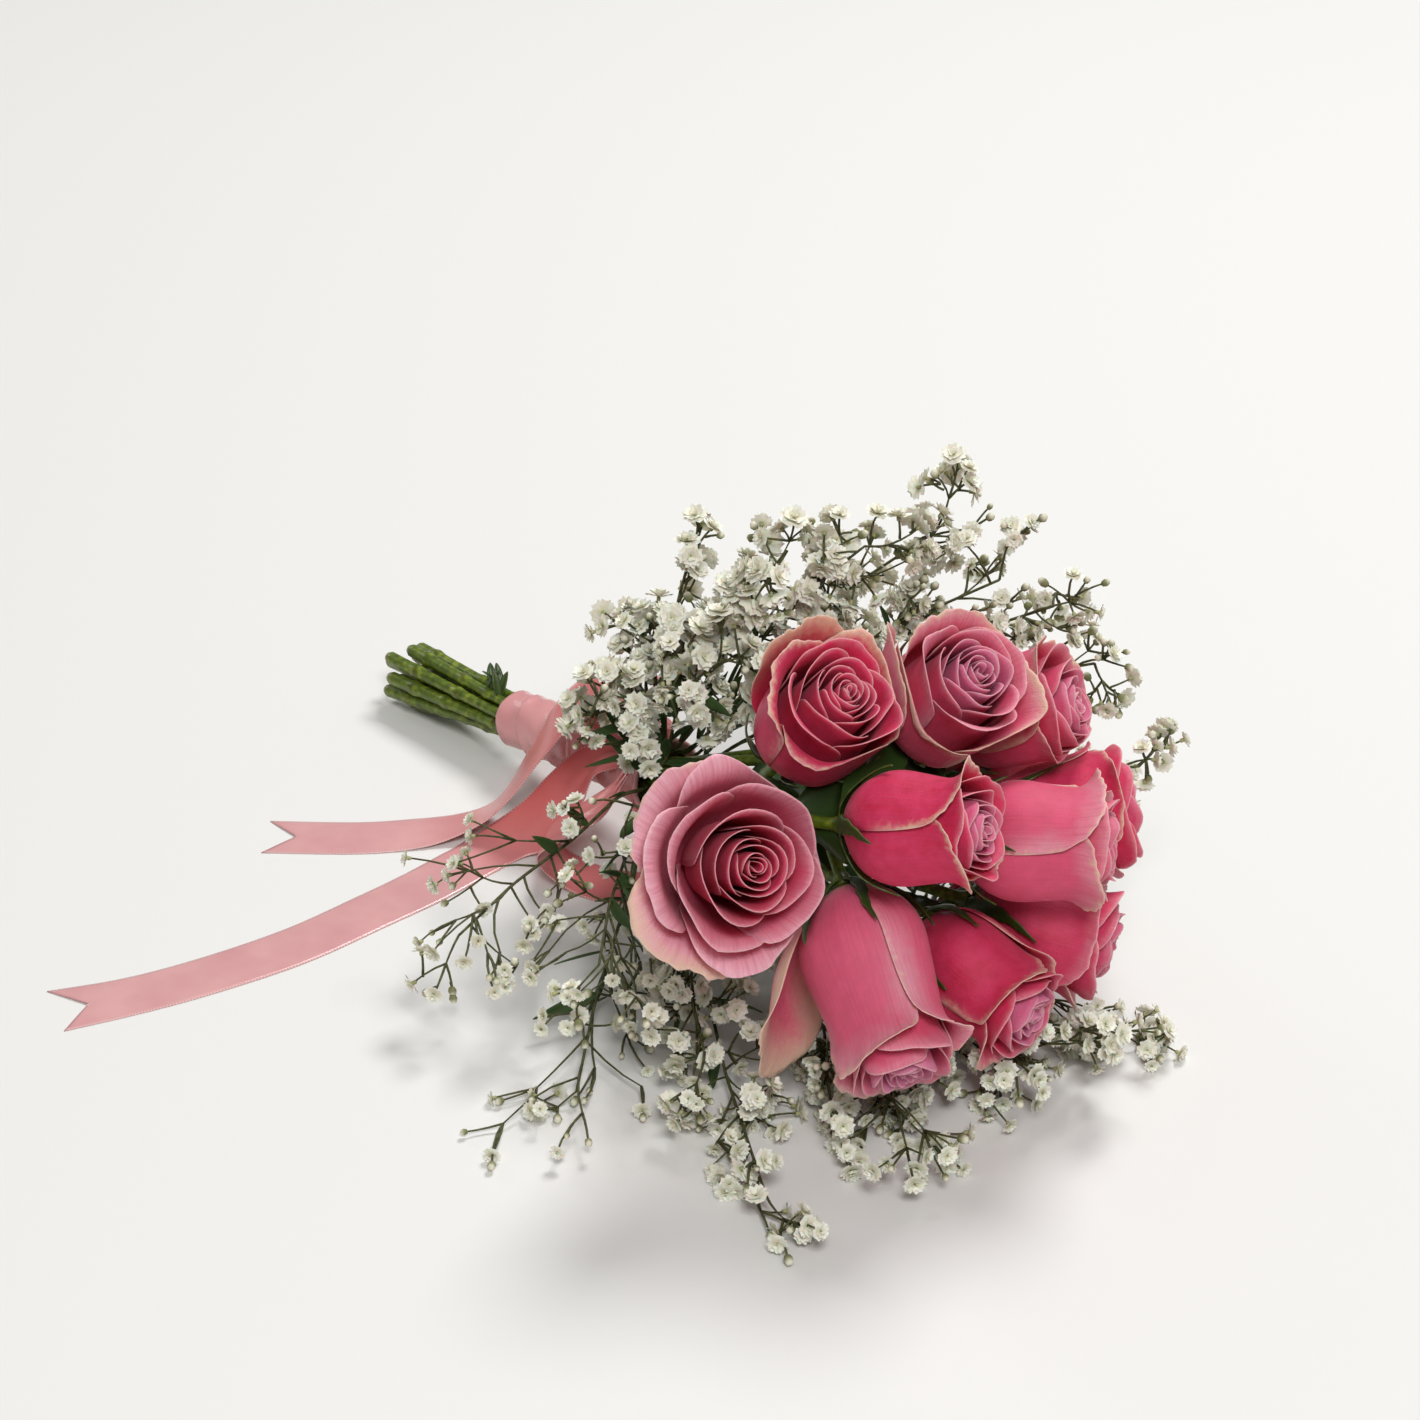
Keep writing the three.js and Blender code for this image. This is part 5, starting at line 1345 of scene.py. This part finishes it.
# %% Make the sprays
def spray_parts(spray, seed):
    """A stalk that thins to its tip, then twigs, leaves and what the twigs end in."""
    main = spray_course(spray)
    path, at = smooth_path([list(p) for p in main], 4, 12)
    flowers, buds = [], []
    parts = [tube(path, np.interp(at, [0, at[-1]], [1.1 * STALK_RADIUS, 0.55]), 6)]
    parts += forked_twigs(spray, main, seed, flowers, buds)
    parts += more_twigs(spray, path, seed, flowers, buds)
    parts += spray_leaves(spray, path, seed)
    parts += set_flowers(flowers, buds, seed, spray["floret_size"])
    print("spray", seed // 100 + 1, "florets", len(flowers), "buds", len(buds))
    return parts


set_sprays()
for index, spray in enumerate(SPRAYS):
    number = f"{index + 1:02d}"
    parts = spray_parts(spray, 100 * index)
    make_piece(f"babys_breath_{number}", parts, ("white", "heart", "leaf"),
               f"gypsophila_spray_{number}", BREATH)

# %% [markdown]
# ## Ribbon
#
# Ribbon could be simulated, but a bow is tied and pulled into place by hand, and it keeps the
# shape it is given. So each loop and tail is a strip between two curves, one for each edge,
# through the same points as the solid's. Across its width it is slightly bowed.

# %% Ribbon strips
TAIL_SHORT = [
    ((-22, -98.5, 52.5), (-16, -99.5, 56)), ((-26, -72, 60), (-19, -92, 66)),
    ((-42, -67, 61), (-31, -90, 68)), ((-54, -74, 58), (-45, -98, 66)),
    ((-64.5, -82.5, 51), (-55.5, -105, 57)), ((-71, -88, 41), (-64, -111, 48)),
    ((-78, -90, 29), (-73, -113, 37)), ((-84.5, -89, 16), (-82, -113, 24)),
    ((-93, -88, 5), (-93, -113, 12)), ((-106, -90, 0.8), (-108, -114, 3.5)),
    ((-124, -93, 0), (-124, -118, 0.6)), ((-149, -96, 0), (-149, -121, 0)),
    ((-187, -95, 0), (-188, -120, 0)),
]
TAIL_LONG = [
    ((-31.4, -110.6, 47.4), (-36.4, -117.4, 40.4)), ((-41, -104, 46.5), (-48, -117, 36)),
    ((-55, -101, 39), (-53, -119, 24)), ((-67, -102, 28), (-59, -119, 11)),
    ((-79, -102, 14), (-68, -123, 3.5)), ((-94, -105, 3.5), (-78, -125, 0.8)),
    ((-109, -118, 0), (-92, -138, 0)), ((-127, -137, 0), (-110, -157, 0)),
    ((-145, -154, 0), (-130, -175, 0)), ((-172, -178, 0), (-161, -202, 0)),
    ((-204, -199, 0), (-196, -224, 0)), ((-232, -213, 0), (-224, -238, 0)),
    ((-261, -222, 0), (-250, -249, 0)),
]
LOOP_UPPER = [
    ((-30.6, -102.4, 53.6), (-30.6, -109, 53.6)), ((-37, -86, 58), (-36, -107, 60)),
    ((-47, -82, 58.5), (-46, -105, 61)), ((-54, -84, 54), (-53, -106, 56)),
    ((-49, -84, 49.5), (-49, -106, 51.5)), ((-41, -88, 49), (-41, -108, 51)),
    ((-31.4, -102, 49.8), (-31, -109, 50.2)),
]
LOOP_LOWER = [
    ((-34, -119, 43), (-34, -124, 39)), ((-40, -129, 40), (-44, -149, 35)),
    ((-52, -130, 31), (-60, -153, 27)), ((-65, -124, 17), (-71, -147, 14)),
    ((-58, -125, 4), (-62, -149, 3)), ((-40, -133, 0), (-46, -157, 0)),
    ((-18, -136, 1), (-21, -160, 1)), ((-12, -133, 11), (-11, -155, 9)),
    ((-22, -134, 20), (-22, -149, 20)), ((-32, -126, 30), (-32, -134, 29)),
]
CLOTH = 0.35
NOTCH_DEPTH, NOTCH_RUN = 13.0, 30
# How far from the knot its pleats run out, and over how far a tail's painted shade fades out
PLEAT_RUN = 22
PAINTED_SHADE_FADE_RUN = 70


def strip_part(pairs, notched, pleats, deep_for=0.0):
    """Points on the straight line between the two edge curves, raised by a bow that is
    largest in the middle, and by pleats that fade away from the knot. A notched end is drawn
    back towards its middle. A tail carries painted shade for some millimetres from the knot,
    which then fades out; a loop carries it all over."""
    rows, columns, bow = 150, 16, 0.5
    a = catmull([pair[0] for pair in pairs], rows)[:, None]
    b = catmull([pair[1] for pair in pairs], rows)[:, None]
    across = np.linspace(-1, 1, columns + 1)[None, :, None]
    points = mix(a, b, (across + 1) / 2)
    middle = points[:, columns // 2]
    steps = np.linalg.norm(np.diff(middle, axis=0), axis=1)
    run = np.concatenate([[0], np.cumsum(steps)])[:, None, None]
    pleated = np.exp(-run / PLEAT_RUN)
    if notched:
        near_end = np.clip(1 - (run[-1] - run) / NOTCH_RUN, 0, 1)
        back = (middle[-8] - middle[-1]) / np.linalg.norm(middle[-8] - middle[-1])
        points = points + back * NOTCH_DEPTH * near_end * (1 - np.abs(across))
        # Painted shade, strongest near the knot and fading out along the tail
        deep = 0.95 * (1 - ease((run[..., 0] - deep_for) / PAINTED_SHADE_FADE_RUN))
    else:
        pleated = pleated + np.exp(-(run[-1] - run) / PLEAT_RUN)
        # Painted shade all over a loop
        deep = 0.7
    lift = bow * (1 - across ** 2) + pleats * pleated * np.cos(across * 3 * math.pi)
    points = points - normals_of(points) * lift
    points[..., 2] = np.maximum(points[..., 2], 0) + CLOTH / 2 + TABLE_SKIN
    part = shell(points, CLOTH, along=run[..., 0], across=across[..., 0], deep=deep)
    return part, float(run[-1, 0, 0])


def ribbon_piece(name, node, part, length, held, rests_on):
    """A piece of satin that stands for a ribbon solid; it prints the piece's length."""
    piece = make_piece(name, [part], RIBBON_MARKS, node, SATIN)
    print(name, "length", round(length), "mm")


tail_short = strip_part(TAIL_SHORT, True, pleats=0.8, deep_for=95)
tail_long = strip_part(TAIL_LONG, True, pleats=0.6, deep_for=40)
loop_upper = strip_part(LOOP_UPPER, False, pleats=0.7)
loop_lower = strip_part(LOOP_LOWER, False, pleats=0.7)
ribbon_piece("satin_tail_short", "ribbon_tail_short", *tail_short, "draped", "ribbon_knot")
ribbon_piece("satin_tail_long", "ribbon_tail_long", *tail_long, "draped", "ribbon_wrap")
ribbon_piece("satin_loop_upper", "ribbon_loop_upper", *loop_upper, "folded", "ribbon_knot")
ribbon_piece("satin_loop_lower", "ribbon_loop_lower", *loop_lower, "folded", "ribbon_wrap")

# %% [markdown]
# ## Wrap and knot
#
# The handle is wound with the same ribbon, each turn over a third of the one before. A sleeve
# whose radius rises slowly over each turn and drops at its edge gives that look in one closed
# surface. The knot is a gathered lump: its radius follows pleats that run over it, deepest at
# the sides and drawn together at both ends.

# %% Wrap the handle
# Millimetres back from the neck, and the sleeve's inner radius there
WRAP_RINGS = [(90, 10.8), (20, 10.8), (13.5, 12.1), (-2, 12.5), (-11, 16.2)]
WRAP_THICKNESS = 0.8
TURN_PITCH = 17.0
WRAP_LENGTH = 340
EDGE_STEP = 1.5


def wrap_part():
    """Rings across the handle. The outer radius adds a ramp that climbs over one pitch of the
    winding and falls back at the ribbon's edge; the winding moves one pitch for each turn.
    Creases are products of sines of the turn and of the way back."""
    rows, sides = 130, 56
    back = np.linspace(WRAP_RINGS[0][0], WRAP_RINGS[-1][0], rows)[:, None]
    radius = np.interp(-back, [-ring[0] for ring in WRAP_RINGS], [ring[1] for ring in WRAP_RINGS])
    turn = np.linspace(0, 2 * math.pi, sides, endpoint=False)
    neck, handle, heading, side, rise = (np.array(v) for v in (NECK, HANDLE, HEADING, SIDE, RISE))
    centre = neck - np.where(back > 0, handle, heading) * back
    wound = (back + TURN_PITCH * turn / (2 * math.pi)) / TURN_PITCH
    ramp = wound - np.floor(wound)
    step = EDGE_STEP * ramp * (1 - ease((ramp - 0.93) / 0.07))
    creases = 0.5 * np.sin(3 * turn + 0.11 * back) * np.sin(0.23 * back + turn)
    creases = creases + 0.2 * np.sin(0.6 * back + 2 * turn)
    outer = radius + WRAP_THICKNESS + step + creases
    inner = np.repeat(radius, sides, 1)
    away = side * np.cos(turn)[:, None] + rise * np.sin(turn)[:, None]
    corners = np.concatenate([centre[:, None] + away * outer[..., None],
                              (centre[:, None] + away * inner[..., None])[::-1]]).reshape(-1, 3)
    # One ring more than there are closes the last, inner one to the first
    faces = grid_faces(2 * rows + 1, sides, ring=True) % (2 * rows * sides)
    along = 2 * np.concatenate([wound * TURN_PITCH + 11.0 * turn, np.zeros_like(wound)])
    across = np.concatenate([2 * ramp - 1, 0 * ramp])
    # A little painted shade all over the wrap
    return {"corners": corners, "faces": faces[:, ::-1], "along": along.ravel(), "across": across.ravel(),
            "deep": 0.2}


ribbon_piece("satin_wrap", "ribbon_wrap", wrap_part(), WRAP_LENGTH, "stretched", "stem_binding")

# %% Tie the knot
KNOT = np.array([-23, -106.5, 52.1])
KNOT_SIZE = np.array([8.2, 7.6, 5.4])


def knot_part():
    """A lump told by its angle from one pole to the other and its turn: its radius is a power
    of the sine of the angle, with eleven narrow pleats and five broad ones, deepest halfway."""
    rows, sides = 39, 96
    angle = np.linspace(0, math.pi, rows + 2)[1:-1, None]
    turn = np.linspace(0, 2 * math.pi, sides, endpoint=False)[None, :]
    pleats = 0.05 * np.cos(11 * turn + 1.2 * np.cos(angle)) + 0.05 * np.cos(5 * turn)
    radius = np.sin(angle) ** 0.8 * (1 + pleats * np.sin(angle))
    points = np.stack([-np.cos(angle) + 0 * turn, radius * np.cos(turn), radius * np.sin(turn)], -1)
    poles = np.array([[-1, 0, 0], [1, 0, 0]])
    corners = np.concatenate([points.reshape(-1, 3), poles]) * KNOT_SIZE + KNOT
    along = np.concatenate([(12 * turn + 0 * angle).ravel(), [0, 0]])
    # Painted shade all over the knot
    return {"corners": corners, "faces": capped_faces(rows, sides), "along": along, "deep": 0.7}


knot = make_piece("satin_knot", [knot_part()], RIBBON_MARKS, "ribbon_knot", SATIN)
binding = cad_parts["stem_binding"]
binding.data.materials.clear()
binding.data.materials.append(TAPE)
print("knot faces:", len(knot.data.polygons))

# %% [markdown]
# ## Table, light and camera
#
# The bouquet lies on a plain pale table. The light is soft: a window above and behind on the
# right, one nearly as bright in front, so that the near sides of the roses show, and a weak one
# at the far left. The camera looks down at 30 degrees through a long lens.

# %% Stage
TABLE_HALF = 6.0
# Name, place and aim in metres, width in metres, and watts
LIGHTS = [
    ("window", (0.9, 1.5, 2.5), (0.0, 0.0, 0.05), 1.1, 57.0),
    ("front", (0.3, -2.0, 2.3), (0.05, 0.0, 0.05), 1.0, 49.0),
    ("side", (-1.6, 1.6, 1.0), (-0.1, 0.05, 0.05), 0.7, 5.0),
]
ROOM_COLOUR, ROOM_STRENGTH = "#f7f6f4", 0.25


def put_in_scene(name, data):
    """A new object for the data, linked to the scene."""
    item = bpy.data.objects.new(name, data)
    bpy.context.scene.collection.objects.link(item)
    return item


def set_table():
    """One square at height zero, far larger than the picture shows."""
    material, tree, _, _ = start_material("pale_matt_table")
    finish_material(material, tree, {"Base Color": linear("#e6e5e2"), "Roughness": 0.7})
    mesh = bpy.data.meshes.new("table_top")
    corners = [(x * TABLE_HALF, y * TABLE_HALF, 0) for x, y in ((-1, -1), (1, -1), (1, 1), (-1, 1))]
    mesh.from_pydata(corners, [], [(0, 1, 2, 3)])
    mesh.materials.append(material)
    put_in_scene("table_top", mesh)


def area_light(name, place, aim, size, power):
    """A round lamp of soft light that is turned to its aim."""
    data = bpy.data.lights.new(name, "AREA")
    data.shape = "DISK"
    data.size = size
    data.energy = power
    lamp = put_in_scene(name, data)
    lamp.location = place
    lamp.rotation_euler = (Vector(aim) - Vector(place)).to_track_quat("-Z", "Y").to_euler()


set_table()
for light in LIGHTS:
    area_light(*light)
world = bpy.data.worlds.new("soft_room")
bpy.context.scene.world = world
world.use_nodes = True
room = world.node_tree.nodes["Background"]
room.inputs["Color"].default_value = linear(ROOM_COLOUR)
room.inputs["Strength"].default_value = ROOM_STRENGTH

# %% Camera
CAMERA_PLACE = np.array([0.0, -1359.7, 785.0])
LOOKS_DOWN = 30
# How many pixels away the picture would have to be to look right, and how wide it is
LENS_PIXELS, PICTURE_PIXELS = 3500, 1420
SENSOR = 36.0

lens = bpy.data.cameras.new("camera")
lens.sensor_width = SENSOR
lens.lens = LENS_PIXELS / PICTURE_PIXELS * SENSOR
camera = put_in_scene("camera", lens)
camera.location = (CAMERA_PLACE - CENTRE) * MM
camera.rotation_euler = (math.radians(90 - LOOKS_DOWN), 0, 0)
bpy.context.scene.camera = camera
bpy.context.scene.view_settings.view_transform = "Standard"
